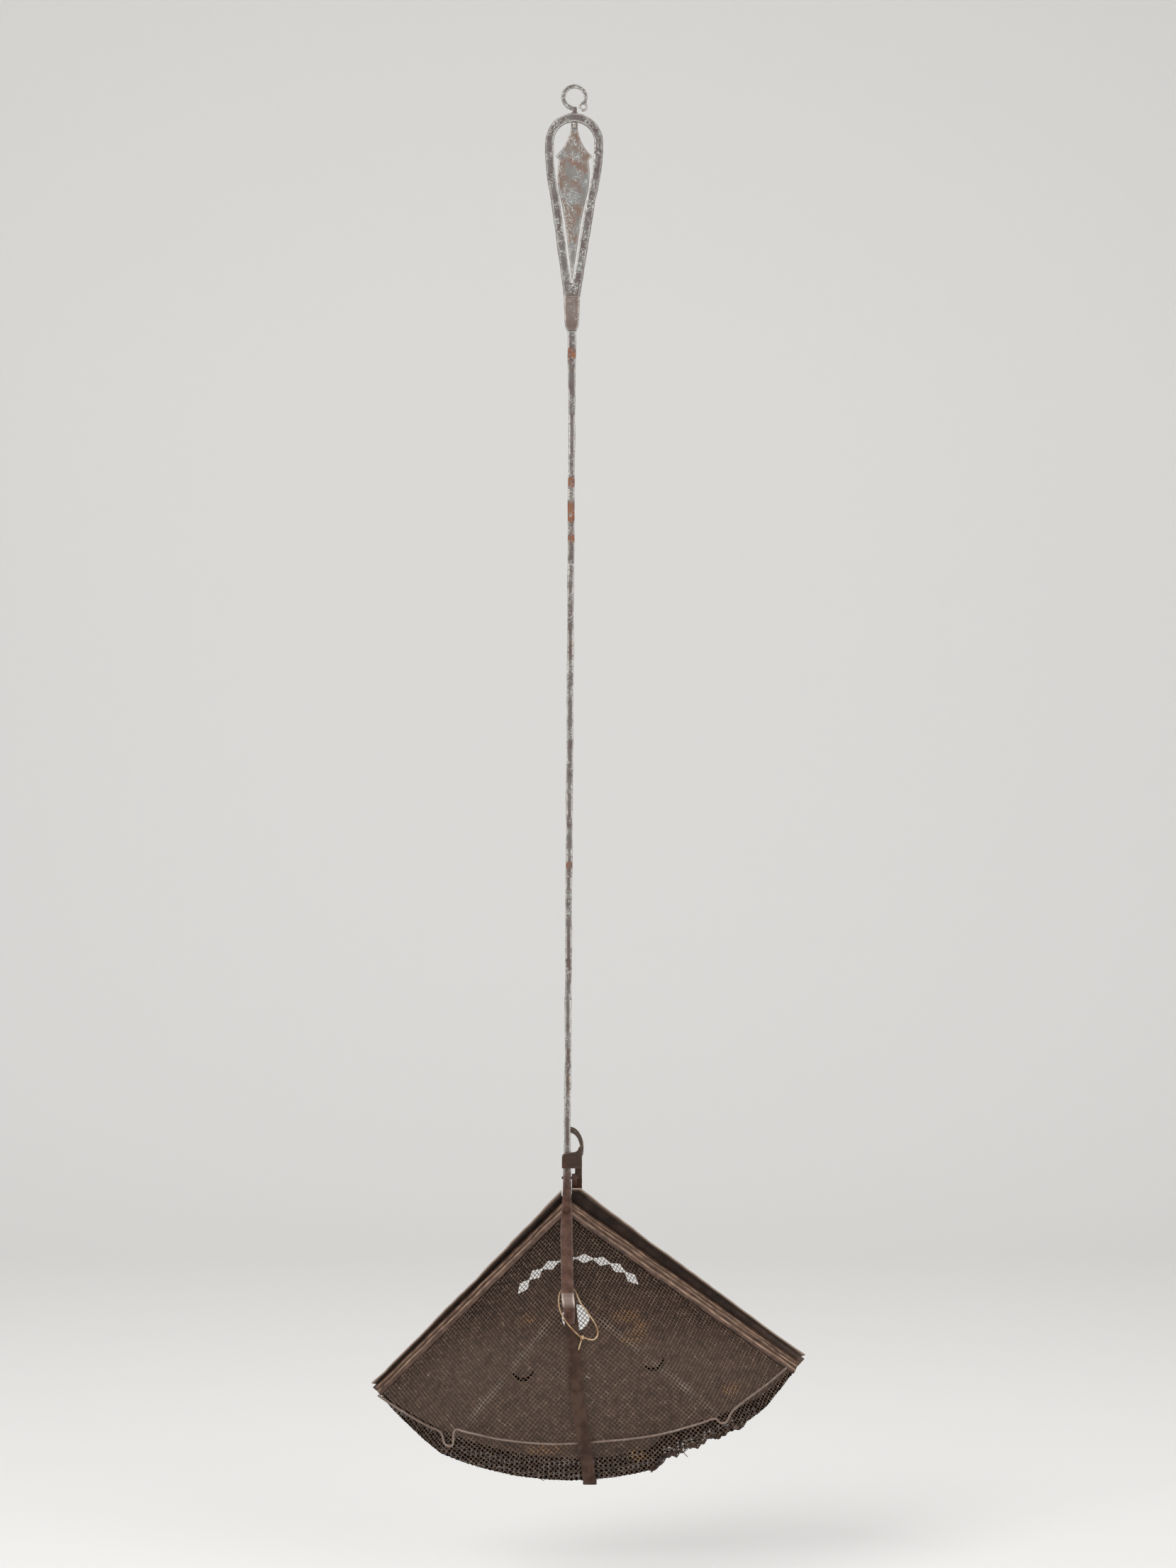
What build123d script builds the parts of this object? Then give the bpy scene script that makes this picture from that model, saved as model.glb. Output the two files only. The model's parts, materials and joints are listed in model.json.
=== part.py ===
from build123d import *
import math
import os

os.makedirs("parts", exist_ok=True)

# A chestnut roaster hanging by its hook, in millimetres, +Z up along the handle.
# The basket's outside faces -Y, and the lid is behind it, towards +Y.
# The origin is the top of the hook's eye, where the roaster hangs from a nail.
# Below, "out" is a distance towards -Y, measured from the handle's middle.

# Driving dimensions: hook, leaf and grip
swivel_lean = 0.85
eye_outer_r = 9.4
eye_inner_r = 6.5
eye_center = (-0.3, -6.6)
eye_inner_center = (0.0, -6.5)
hook_depth = 2.8
shank_r = 1.5
running_gap = 0.05
bow_top = -18.1
bow_half_width = 20.8
bow_bar = 6.3
bow_depth = 5.2
bow_bottom = -149.0
bow_foot_half = 5.8
leaf_sheet = 1.8
leaf_tip = -139.0

# Driving dimensions: collar and handle
collar_bottom = -174.0
collar_width = 11.6
collar_depth = 9.0
bar_size = 4.8
bar_bottom = -752.0
bar_top_x = -2.2
bar_bottom_x = -5.4
hammer_wave = 0.3
hammer_count = 26
strap_width = 9.1
strap_sheet = 2.2

# Driving dimensions: basket
basket_lean = 4.85
mouth_slope = 0.24
cloth = 0.8
wire_pitch = 10.16
wire_width = 2.4
seam = 0.5
border = 2.0
rim_wire_r = 0.9
wire_gap = 0.45
binding_sheet = 0.8
binding_slot = 1.1
binding_left = 9.0
binding_right = 11.5

# Driving dimensions: lid and its arm
lid_sheet = 0.8
lid_drop = 2.8
lip_height = 7.0
lip_flare = 5.0
lid_overhang = 0.6
arm_sheet = 1.3
pin_r = 1.0
pin_height = -781.1
pin_out = -1.7


def at(x, z, out=0.0):
    """A point given by its place in the front view and its distance out."""
    return Vector(x, -out, z)


def write(part, name):
    """Label a finished piece and write its file."""
    part.part.label = name
    export_step(part.part, f"parts/{name}.step")


# Hanging hook: a flat-forged eye left open at the lower right, with a scroll
swivel_plane = Plane(
    origin=(0, 0, 0),
    x_dir=(math.cos(math.radians(swivel_lean)), 0, -math.sin(math.radians(swivel_lean))),
    z_dir=(0, -1, 0),
)


def swivel_level(height):
    """A plane across the swivel axis at a height below the hook."""
    return Plane(origin=swivel_plane.from_local_coords((0, height, 0)), z_dir=swivel_plane.y_dir)


with BuildPart() as hanging_hook:
    with BuildSketch(swivel_plane):
        with Locations(eye_center):
            Circle(eye_outer_r)
        with Locations(eye_inner_center):
            Circle(eye_inner_r, mode=Mode.SUBTRACT)
        with BuildLine():
            Polyline((1.2, -11.0), (12.0, -11.0), (12.0, -17.5), (1.2, -17.5), close=True)
        make_face(mode=Mode.SUBTRACT)
        with BuildLine():
            Polyline((-2.2, -13.0), (1.6, -13.0), (2.4, -17.8), (-2.4, -17.8), close=True)
        make_face()
        with Locations((6.2, -13.2)):
            Circle(3.3)
            Circle(1.7, mode=Mode.SUBTRACT)
        with Locations((3.4, -15.6)):
            Rectangle(3.0, 2.6, mode=Mode.SUBTRACT)
    extrude(amount=hook_depth / 2, both=True)
    chamfer(hanging_hook.edges().filter_by(GeomType.CIRCLE).group_by(SortBy.LENGTH)[-1], 0.45)
    with BuildSketch(swivel_level(-17.4)):
        Circle(shank_r)
    extrude(amount=-10.2)
write(hanging_hook, "hanging_hook")

# Leaf ornament: an arrow-shaped plate inside the grip, turning with the hook
with BuildPart() as leaf_ornament:
    with BuildSketch(swivel_plane):
        with BuildLine():
            flank = ThreePointArc((2.1, -25.5), (5.2, -38.0), (13.5, -49.0))
            barb = Line(flank @ 1, (10.5, -51.2))
            belly = ThreePointArc(barb @ 1, (11.5, -61.0), (8.9, -80.0))
            waist = ThreePointArc(belly @ 1, (5.9, -95.5), (3.8, -110.5))
            point = Line(waist @ 1, (0.0, leaf_tip))
            Line(flank @ 0, (0.0, -25.5))
            mirror(about=Plane.YZ)
        make_face()
    extrude(amount=leaf_sheet / 2, both=True)
    with BuildSketch(swivel_level(-24.8)):
        Circle(2.4)
    extrude(amount=-4.0)
    with BuildSketch(swivel_level(-24.8)):
        Circle(shank_r)
    extrude(amount=-2.8, mode=Mode.SUBTRACT)
write(leaf_ornament, "leaf_ornament")

# Grip bow: a teardrop of flat bar, with a bore for the hook's shank at the top
with BuildPart() as grip_bow:
    with BuildSketch(swivel_plane):
        with BuildLine():
            crown = CenterArc((0, bow_top - bow_half_width), bow_half_width, 0, 90)
            shoulder = ThreePointArc(crown @ 0, (19.9, -58.0), (16.0, -80.0))
            leg = Line(shoulder @ 1, (bow_foot_half, bow_bottom))
            Line(leg @ 1, (0, bow_bottom))
            mirror(about=Plane.YZ)
        make_face()
        offset(amount=-bow_bar, mode=Mode.SUBTRACT)
    extrude(amount=bow_depth / 2, both=True)
    chamfer(grip_bow.edges().filter_by(GeomType.LINE).group_by(SortBy.LENGTH)[-1], 0.8)
    with BuildSketch(swivel_level(bow_top + 2)):
        Circle(shank_r + running_gap)
    extrude(amount=-bow_bar - 6, mode=Mode.SUBTRACT)
write(grip_bow, "grip_bow")

# Collar: the block that holds the bow's legs to the handle
with BuildPart() as collar:
    with BuildSketch(Plane.XY.offset(bow_bottom - 0.1)):
        with Locations((-2.2, 0)):
            Rectangle(collar_width, collar_depth)
    with BuildSketch(Plane.XY.offset(collar_bottom + 5)):
        with Locations((-2.2, 0)):
            Rectangle(collar_width - 1.4, collar_depth - 0.8)
    with BuildSketch(Plane.XY.offset(collar_bottom)):
        with Locations((-2.2, 0)):
            Rectangle(collar_width - 4.6, collar_depth - 3.0)
    loft(ruled=True)
write(collar, "collar")


# Basket corners, seen from the front and by their distance out
apex = at(-5.6, -797.9, -6.0)
bend = at(-3.0, -858.4, 41.0)
end_left = (-145.5, -938.9)
end_right = (163.3, -920.9)
notch_left = (-88.8, -964.9)
notch_right = (106.1, -947.8)
toe_middle = (6.6, -993.0)

# Mouth plane: the side edges of the basket lie in it
lean_sin = math.sin(math.radians(basket_lean))
lean_cos = math.cos(math.radians(basket_lean))
mouth = Plane(
    origin=apex,
    x_dir=(lean_cos, 0, lean_sin),
    z_dir=(mouth_slope * lean_sin, -1, -mouth_slope * lean_cos),
)


def on(plane, x, z):
    """The point of a plane that is seen at x, z from the front."""
    n = plane.z_dir
    o = plane.origin
    return Vector(x, o.Y - (n.X * (x - o.X) + n.Z * (z - o.Z)) / n.Y, z)


def panel_plane(start, along, third):
    """The plane through three corners, facing the front."""
    normal = (along - start).cross(third - start)
    if normal.Y > 0:
        normal = -normal
    return Plane(origin=start, x_dir=along - start, z_dir=normal)


# Toe circle through the two side ends and the middle of the toe
def circle_through(a, b, c):
    """Centre and radius of the circle through three points of the front view."""
    d = 2 * (a[0] * (b[1] - c[1]) + b[0] * (c[1] - a[1]) + c[0] * (a[1] - b[1]))
    a2, b2, c2 = (p[0] ** 2 + p[1] ** 2 for p in (a, b, c))
    x = (a2 * (b[1] - c[1]) + b2 * (c[1] - a[1]) + c2 * (a[1] - b[1])) / d
    z = (a2 * (c[0] - b[0]) + b2 * (a[0] - c[0]) + c2 * (b[0] - a[0])) / d
    return (x, z), math.hypot(a[0] - x, a[1] - z)


toe_center, toe_r = circle_through(end_left, toe_middle, end_right)


def bearing(point):
    """Angle of a front-view point about the toe circle's centre, in degrees."""
    return math.degrees(math.atan2(point[1] - toe_center[1], point[0] - toe_center[0]))


edge_left = on(mouth, *end_left)
edge_right = on(mouth, *end_right)
left_side = panel_plane(apex, edge_left, bend)
right_side = panel_plane(apex, edge_right, bend)
corner_left = on(left_side, *notch_left)
corner_right = on(right_side, *notch_right)
floor = panel_plane(corner_left, corner_right, bend)
toe_out = -on(floor, *toe_middle).Y - 4.0
toe = panel_plane(corner_left, corner_right, at(*toe_middle, toe_out))


def fold(side, start):
    """A point far down the fold between a side wall and the toe panel."""
    run = side.z_dir.cross(toe.z_dir).normalized()
    if run.Z > 0:
        run = -run
    return start + run * 40


fold_left = fold(left_side, corner_left)
fold_right = fold(right_side, corner_right)


def skin(x, z):
    """How far out the basket's outside is at a place in the front view."""
    return min(-on(plane, x, z).Y for plane in (left_side, right_side, floor, toe))


def toe_region():
    """Everything inside the toe circle, for a sketch on the front plane."""
    with Locations(toe_center):
        Circle(toe_r)
    with Locations((0, -700)):
        Rectangle(600, 200)


def clear_of_rim(plane, outline, center, half, turn):
    """True where a gap's four corners keep a border inside the panel's outline."""
    for k in range(4):
        angle = math.radians(45 + 90 * k + turn)
        x = center[0] + half * math.sqrt(2) * math.cos(angle)
        y = center[1] + half * math.sqrt(2) * math.sin(angle)
        for i, a in enumerate(outline):
            b = outline[(i + 1) % len(outline)]
            side = (b[0] - a[0]) * (y - a[1]) - (b[1] - a[1]) * (x - a[0])
            if side < (border + seam) * math.dist(a, b):
                return False
        spot = plane.from_local_coords((x, y, 0))
        if math.dist((spot.X, spot.Z), toe_center) > toe_r - border - 0.5:
            return False
    return True


def mesh_panel(plane, corners, fold_line, holes=()):
    """One flat panel of wire cloth, its wires along and across a fold."""
    local = [plane.to_local_coords(c) for c in corners]
    outline = [(p.X, p.Y) for p in local]
    area = sum(a[0] * b[1] - a[1] * b[0] for a, b in zip(outline, outline[1:] + outline[:1]))
    if area < 0:
        outline.reverse()
    a, b = (plane.to_local_coords(p) for p in fold_line)
    turn = math.degrees(math.atan2(b.Y - a.Y, b.X - a.X))
    gap = wire_pitch - wire_width
    count = 24
    cells = []
    for i in range(-count, count + 1):
        for j in range(-count, count + 1):
            u = (i + 0.5) * wire_pitch
            v = (j + 0.5) * wire_pitch
            c, s = math.cos(math.radians(turn)), math.sin(math.radians(turn))
            center = (a.X + u * c - v * s, a.Y + u * s + v * c)
            if clear_of_rim(plane, outline, center, gap / 2, turn):
                cells.append(center)
    with BuildPart() as panel:
        with BuildSketch(plane):
            with BuildLine():
                Polyline(*outline, close=True)
            make_face()
            offset(amount=-seam, kind=Kind.INTERSECTION)
            with Locations(*cells):
                Rectangle(gap, gap, rotation=turn, mode=Mode.SUBTRACT)
        extrude(amount=cloth / 2, both=True)
        with BuildSketch(Plane.XZ):
            toe_region()
        extrude(amount=120, both=True, mode=Mode.INTERSECT)
    return panel, len(cells)


far_left = on(left_side, -150.0, -972.0)
far_right = on(right_side, 167.0, -950.0)
mesh_left, gaps_left = mesh_panel(
    left_side, [apex, edge_left, far_left, fold_left, corner_left, bend], (bend, corner_left)
)
mesh_right, gaps_right = mesh_panel(
    right_side, [apex, edge_right, far_right, fold_right, corner_right, bend], (bend, corner_right)
)
mesh_floor, gaps_floor = mesh_panel(floor, [bend, corner_left, corner_right], (bend, corner_left))
mesh_toe, gaps_toe = mesh_panel(
    toe, [corner_left, fold_left, fold_right, corner_right], (corner_left, fold_left)
)
print("gaps", gaps_left, gaps_right, gaps_floor, gaps_toe)
print("toe", toe_center, toe_r, toe_out)


def above(x, z, clear):
    """A point a given distance clear of the basket's outside, measured square to it."""
    planes = (left_side, right_side, floor, toe)
    return at(x, z, min(clear / -p.z_dir.Y - on(p, x, z).Y for p in planes))


# Toe wall: the cloth's hem, turned back from the toe's edge to the lid
wall_end = 3.0
with BuildPart() as mesh_hem:
    with BuildSketch(Plane.XZ):
        with BuildLine():
            first, last = bearing(end_left) + wall_end, bearing(end_right) - wall_end
            outside = CenterArc(toe_center, toe_r - 0.1, first, last - first)
            inside = CenterArc(toe_center, toe_r - 0.1 - cloth, first, last - first)
            Line(outside @ 0, inside @ 0)
            Line(outside @ 1, inside @ 1)
        make_face()
    extrude(amount=80, both=True)
    split(bisect_by=mouth.offset(-2.0), keep=Keep.TOP)
    for panel in (left_side, right_side, floor, toe):
        split(bisect_by=panel.offset(-cloth / 2 - 0.1), keep=Keep.BOTTOM)
write(mesh_hem, "mesh_hem")


def edge_binding(side, end, width):
    """A folded sheet channel gripping one side edge of the cloth."""
    inward = side.z_dir.cross(end - apex).normalized()
    if inward.dot(bend - apex) < 0:
        inward = -inward
    run = (end - apex).normalized()
    half = binding_slot / 2
    with BuildPart() as binding:
        with BuildSketch(Plane(origin=apex, x_dir=inward, z_dir=run)):
            up = 1 if Plane(origin=apex, x_dir=inward, z_dir=run).y_dir.dot(side.z_dir) > 0 else -1
            with BuildLine():
                Polyline(
                    (-1.1, up * (half + 1.2)),
                    (width - 3.0, up * (half + 1.2)),
                    (width - 3.0, up * (half + binding_sheet)),
                    (width, up * (half + binding_sheet)),
                    (width, up * half),
                    (-0.5, up * half),
                    (-0.5, -up * half),
                    (width - 1.5, -up * half),
                    (width - 1.5, -up * (half + binding_sheet)),
                    (-1.1, -up * (half + binding_sheet)),
                    close=True,
                )
            make_face()
        extrude(amount=(end - apex).length - 2.0)
        centre_cut = Plane(origin=apex, z_dir=(1, 0, 0))
        keep = Keep.TOP if end.X > apex.X else Keep.BOTTOM
        offset_cut = 0.25 if end.X > apex.X else -0.25
        split(bisect_by=centre_cut.offset(offset_cut), keep=keep)
    return binding


binding_l = edge_binding(left_side, edge_left, binding_left)
binding_r = edge_binding(right_side, edge_right, binding_right)

# Rim wire: laid over the fold between the basket's floor and toe, dipping round each corner
wire_route = [
    (-141.5, -942.9),
    (-122.2, -950.7),
    (-101.2, -957.3),
    (-93.8, -958.3),
    (-90.6, -964.6),
    (-85.8, -964.6),
    (-84.1, -955.4),
    (-80.8, -955.6),
    (-69.1, -957.6),
    (-53.5, -961.6),
    (-18.0, -965.6),
    (12.2, -964.1),
    (53.9, -960.8),
    (88.6, -951.4),
    (100.2, -946.9),
    (104.0, -950.0),
    (107.6, -949.2),
    (108.9, -943.0),
    (129.8, -931.2),
    (148.1, -923.4),
    (152.5, -921.8),
]
with BuildPart() as rim_wire:
    with BuildLine() as wire_line:
        Polyline(*[above(x, z, cloth / 2 + rim_wire_r + wire_gap) for x, z in wire_route])
    wire_path = wire_line.wires()[0]
    with BuildSketch(Plane(origin=wire_path @ 0, z_dir=wire_path % 0)):
        Circle(rim_wire_r)
    sweep(path=wire_path, transition=Transition.RIGHT)
print("rim wire", rim_wire.part.volume, math.pi * rim_wire_r**2 * wire_path.length)
write(rim_wire, "rim_wire")

# Handle: one forged bar, flattened below into the upper strap of the basket
strap_bend = -857.5
strap_bend_out = 45.0
strap_stations = [
    (-770.0, -5.5, 0.0, 5.3, 4.2),
    (-784.0, -5.6, -1.6, 6.0, 3.6),
    (-796.0, -5.7, -3.2, 6.6, 3.2),
    (-806.0, -5.9, 4.6, 8.0, 2.8),
    (-818.0, -5.9, 14.0, strap_width, 2.8),
    (-852.0, -5.2, 40.7, strap_width, 2.8),
    (strap_bend, -5.0, strap_bend_out, strap_width, 2.8),
    (-861.5, -4.6, 45.1, strap_width, 2.6),
    (-869.0, -3.9, 44.2, 8.6, 2.0),
    (-879.0, -3.0, 43.2, 6.2, 1.4),
]
bar_stations = [
    (collar_bottom, bar_top_x, 0.0, 6.4, 5.4),
    (collar_bottom - 34, bar_top_x, 0.0, 5.4, 4.9),
]
for i in range(hammer_count + 1):
    share = i / hammer_count
    level = collar_bottom - 60 + share * (bar_bottom - collar_bottom + 60)
    middle = bar_top_x + share * (bar_bottom_x - bar_top_x)
    swell = hammer_wave * math.sin(2.4 * i)
    sway = 0.5 * hammer_wave * math.sin(1.7 * i)
    bar_stations.append((level, middle + sway, 0.0, bar_size + swell, bar_size - swell))
with BuildPart() as handle_bar:
    for level, x, out, width, depth in bar_stations + strap_stations:
        with BuildSketch(Plane.XY.offset(level)):
            with Locations((x, -out)):
                Rectangle(width, depth)
    loft(ruled=True)
    with BuildSketch(Plane.YZ):
        with Locations((-pin_out, pin_height)):
            Circle(pin_r)
    extrude(amount=20, both=True, mode=Mode.SUBTRACT)

# Lower strap: carries on down the basket's floor, over the rim wire, and hooks round the toe
with BuildPart() as lower_strap:
    for level, x, lift in (
        (-861.0, -4.2, 0.0),
        (-892.0, -0.8, 0.0),
        (-931.0, 1.6, 0.1),
        (-950.0, 4.4, 0.6),
        (-962.0, 6.4, 2.2),
        (-968.0, 7.2, 2.2),
        (-976.0, 8.3, 1.0),
        (-993.6, 10.7, 0.6),
    ):
        out = max(skin(x + side, level) for side in (-4.9, 0, 4.9)) + 0.6 + strap_sheet / 2 + lift
        with BuildSketch(Plane.XY.offset(level)):
            with Locations((x, -out)):
                Rectangle(9.8, strap_sheet)
    loft(ruled=True)
    with BuildSketch(Plane.XY.offset(-993.6)):
        with Locations((10.7, -skin(10.7, -993.6) + 4.0)):
            Rectangle(10.0, 15.0)
    extrude(amount=-1.8)


def rivets(seats, shank, grip, head, *layers):
    """Hammered rivets through their seats, with smaller heads beneath, closed down on their layers."""
    with BuildPart() as group:
        for seat in seats:
            with BuildSketch(seat):
                Circle(shank)
            extrude(amount=-grip)
            with BuildSketch(seat):
                RegularPolygon(head, 11)
            extrude(amount=1.4, taper=38)
            with BuildSketch(seat.offset(-grip)):
                RegularPolygon(head * 0.8, 9)
            extrude(amount=-1.1, taper=30)
        for layer in layers:
            add(layer.part, mode=Mode.SUBTRACT)
    return group


def bore(piece, seats, radius, depth):
    """Cut round holes down through a finished piece."""
    with BuildPart() as drilled:
        add(piece.part)
        for seat in seats:
            with BuildSketch(seat.offset(2)):
                Circle(radius)
            extrude(amount=-depth - 2, mode=Mode.SUBTRACT)
    return drilled


# Rivets: one at the apex, one through the lap of the two straps and one at the toe
strap_slope = (strap_bend_out + 3.2) / (-796.0 - strap_bend)
apex_seat = Plane(origin=at(-5.9, -803.5, 4.1), z_dir=Vector(0, -1, strap_slope))
lap_seat = Plane(origin=at(-3.9, -872.5, 44.9), z_dir=floor.z_dir)
toe_seat = Plane(origin=at(9.9, -984.0, skin(5.0, -984.0) + 3.4), z_dir=toe.z_dir)
strap_top = bore(bore(handle_bar, [apex_seat], 1.6, 9), [lap_seat], 1.35, 3)
strap_low = bore(lower_strap, [lap_seat, toe_seat], 1.35, 7)
fold_left_edge = bore(binding_l, [apex_seat], 1.6, 14)
fold_right_edge = bore(binding_r, [apex_seat], 1.6, 14)
floor_cloth = bore(mesh_floor, [lap_seat], 1.35, 9)
toe_cloth = bore(mesh_toe, [toe_seat], 1.35, 9)
write(strap_top, "handle_bar")
write(strap_low, "lower_strap")
write(bore(mesh_left, [apex_seat], 2.6, 14), "mesh_left")
write(bore(mesh_right, [apex_seat], 2.6, 14), "mesh_right")
write(floor_cloth, "mesh_floor")
write(toe_cloth, "mesh_toe")
write(fold_left_edge, "binding_left")
write(fold_right_edge, "binding_right")
apex_rivet = rivets([apex_seat], 1.5, 6.4, 3.2, strap_top, fold_left_edge, fold_right_edge)
lap_rivet = rivets([lap_seat], 1.25, 5.8, 2.4, strap_top, strap_low, floor_cloth)
toe_rivet = rivets([toe_seat], 1.25, 4.8, 2.4, strap_low, toe_cloth)
print("rivets", [len(r.part.solids()) for r in (apex_rivet, lap_rivet, toe_rivet)])
write(apex_rivet, "apex_rivet")
write(lap_rivet, "lap_rivet")
write(toe_rivet, "toe_rivet")

# Lid: a fan of sheet with flared lips, pierced for the steam
lid_back = mouth.offset(-(lid_drop + lid_sheet))
lid_corners = [(-8.6, -786.7), (4.0, -786.7), (299.3, -1012.2), (-221.4, -1008.0)]
lip_end_left = (-148.2, -932.3)
lip_end_right = (167.5, -912.0)


def on_lid(x, z):
    """The place on the lid's back plane, in its own x and y, seen at x, z from the front."""
    local = lid_back.to_local_coords(on(lid_back, x, z))
    return (local.X, local.Y)


lip_angle = math.degrees(math.atan(lip_flare / lip_height))
pierced_arc_center = (4.5, -893.4)
pierced_arc_r = 52.0
lozenge_first = 45.8
lozenge_step = 13.9
lozenge_count = 8
lozenge_half = (7.2, 3.6)
steam_hole = (0.4, -885.7)
steam_hole_r = 10.0
crescents = [(-38.1, -926.6, 0.0), (57.1, -919.0, 22.0)]
crescent_r = 7.8
crescent_shift = 3.4
scoop_depth = 2.4

with BuildPart() as lid_pan:
    with BuildSketch(lid_back):
        Polygon(*[on_lid(*c) for c in lid_corners], align=Align.NONE)
        offset(amount=-lip_flare, kind=Kind.INTERSECTION)
    extrude(amount=lip_height, taper=-lip_angle)
    with BuildSketch(lid_back.offset(lid_sheet)):
        Polygon(*[on_lid(*c) for c in lid_corners], align=Align.NONE)
        offset(amount=-lip_flare - 0.45, kind=Kind.INTERSECTION)
    extrude(amount=lip_height, taper=-lip_angle, mode=Mode.SUBTRACT)
    for corner, top in ((lip_end_left, lid_corners[0]), (lip_end_right, lid_corners[1])):
        run = on(mouth, *corner) - on(mouth, *top)
        split(bisect_by=Plane(origin=on(mouth, *corner), z_dir=run), keep=Keep.BOTTOM)
    with BuildSketch(lid_back):
        Polygon(*[on_lid(*c) for c in lid_corners], align=Align.NONE)
        offset(amount=-lip_flare, kind=Kind.INTERSECTION)
    extrude(amount=lid_sheet)
    with BuildSketch(Plane.XZ):
        with Locations(toe_center):
            Circle(toe_r + lid_overhang)
        with Locations((0, -700)):
            Rectangle(600, 200)
    extrude(amount=-120, mode=Mode.INTERSECT)
    with BuildSketch(Plane.XZ):
        with Locations((-5.7, -785.0)):
            Rectangle(7.8, 20.0)
        with Locations(steam_hole):
            Circle(steam_hole_r)
        for k in range(lozenge_count):
            turn = lozenge_first + k * lozenge_step
            x = pierced_arc_center[0] + pierced_arc_r * math.cos(math.radians(turn))
            z = pierced_arc_center[1] + pierced_arc_r * math.sin(math.radians(turn))
            half_l, half_w = lozenge_half
            corners = [(half_l, 0), (0, half_w), (-half_l, 0), (0, -half_w)]
            with Locations(Location((x, z), turn - 90)):
                Polygon(*corners, align=Align.NONE)
    extrude(amount=-120, mode=Mode.SUBTRACT)
    for x, z, turn in crescents:
        lift = math.radians(90 + turn)
        middle = on_lid(x, z)
        raised = on_lid(x + crescent_shift * math.cos(lift), z + crescent_shift * math.sin(lift))
        for grow, level, depth, mode in (
            (lid_sheet, lid_sheet / 2, scoop_depth + lid_sheet / 2, Mode.ADD),
            (0.0, lid_sheet + 1, scoop_depth + 1, Mode.SUBTRACT),
        ):
            with BuildSketch(lid_back.offset(level)):
                with Locations(middle):
                    Circle(crescent_r + grow)
                with Locations(raised):
                    Circle(crescent_r, mode=Mode.SUBTRACT)
            extrude(amount=-depth, mode=mode)
print("lid", lid_pan.part.volume, lid_pan.part.bounding_box())

# Lid arm: a bent sheet behind the lid, with a knuckle on the pin and a keeper before the handle
arm_back = lid_back.offset(-arm_sheet - 0.05)
knuckle_x = (-2.2, 1.4)
strip_x = (0.0, 5.1)
cheek_x = (3.8, 5.1)
keeper_out = (2.7, 4.0)
with BuildPart() as lid_arm:
    with BuildSketch(arm_back):
        with BuildLine():
            Polyline(
                *[
                    on_lid(x, z)
                    for x, z in (
                        (-2.2, -784.5),
                        (5.1, -784.5),
                        (5.1, -798.0),
                        (8.0, -806.0),
                        (4.0, -832.0),
                        (-13.0, -832.0),
                        (-15.0, -806.0),
                        (-2.2, -794.0),
                    )
                ],
                close=True,
            )
        make_face()
    extrude(amount=arm_sheet)
    with BuildSketch(Plane.YZ.offset(knuckle_x[0])):
        with BuildLine():
            Polyline(
                (-pin_out, pin_height + 2.6),
                (-pin_out - 2.6, pin_height),
                (-pin_out - 2.6, pin_height - 2.0),
                (3.6, pin_height - 6.4),
                (5.6, pin_height - 6.4),
                (5.6, pin_height + 2.6),
                close=True,
            )
        make_face()
    extrude(amount=knuckle_x[1] - knuckle_x[0])
    with BuildSketch(Plane.YZ.offset(strip_x[0])):
        with BuildLine():
            Polyline(
                (4.3, -773.5),
                (5.6, -773.5),
                (5.6, -779.5),
                (7.9, -785.2),
                (7.9, -786.0),
                (6.7, -786.0),
                (6.4, -784.8),
                (4.3, -780.0),
                close=True,
            )
        make_face()
    extrude(amount=strip_x[1] - strip_x[0])
    with BuildSketch(Plane.YZ.offset(cheek_x[0])):
        with BuildLine():
            Polyline(
                (5.6, -774.0),
                (-keeper_out[1], -774.0),
                (-keeper_out[1], -757.6),
                (5.6, -760.5),
                close=True,
            )
        make_face()
    extrude(amount=cheek_x[1] - cheek_x[0])
    with BuildSketch(Plane.XZ.offset(keeper_out[0])):
        with BuildLine():
            brow = Line((-9.3, -773.8), (-9.3, -765.8))
            rise = TangentArc(brow @ 1, (-6.5, -762.9), tangent=(0, 1))
            ledge = Line(rise @ 1, (-0.2, -762.0))
            crest = TangentArc(ledge @ 1, (2.6, -758.6), tangent=(1, 0.25))
            top = Line(crest @ 1, (5.1, -757.6))
            drop = Line(top @ 1, (5.1, -773.8))
            Line(drop @ 1, brow @ 0)
        make_face()
    extrude(amount=keeper_out[1] - keeper_out[0])
    with BuildSketch(Plane.YZ):
        with Locations((-pin_out, pin_height)):
            Circle(pin_r + running_gap)
    extrude(amount=20, both=True, mode=Mode.SUBTRACT)
print("arm", lid_arm.part.volume, len(lid_arm.part.solids()))

# Thumb lever: a curled strip from the arm's cheek to behind the handle
with BuildPart() as thumb_lever:
    with BuildLine() as lever_line:
        Spline(
            at(4.45, -765.0, -7.2),
            at(4.3, -756.0, -11.5),
            at(0.5, -750.0, -18.0),
            at(-5.5, -749.0, -24.5),
        )
    lever_path = lever_line.wires()[0]
    with BuildSketch(Plane(origin=lever_path @ 0, x_dir=(1, 0, 0), z_dir=lever_path % 0)):
        Rectangle(1.3, 3.2)
    sweep(path=lever_path)
print("lever", thumb_lever.part.volume, 1.3 * 3.2 * lever_path.length)
write(thumb_lever, "thumb_lever")

# Hinge pin: driven through the handle, its end showing on the left
with BuildPart() as hinge_pin:
    with BuildSketch(Plane.YZ.offset(-9.5)):
        with Locations((-pin_out, pin_height)):
            Circle(pin_r)
    extrude(amount=12.2)
write(hinge_pin, "hinge_pin")

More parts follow.
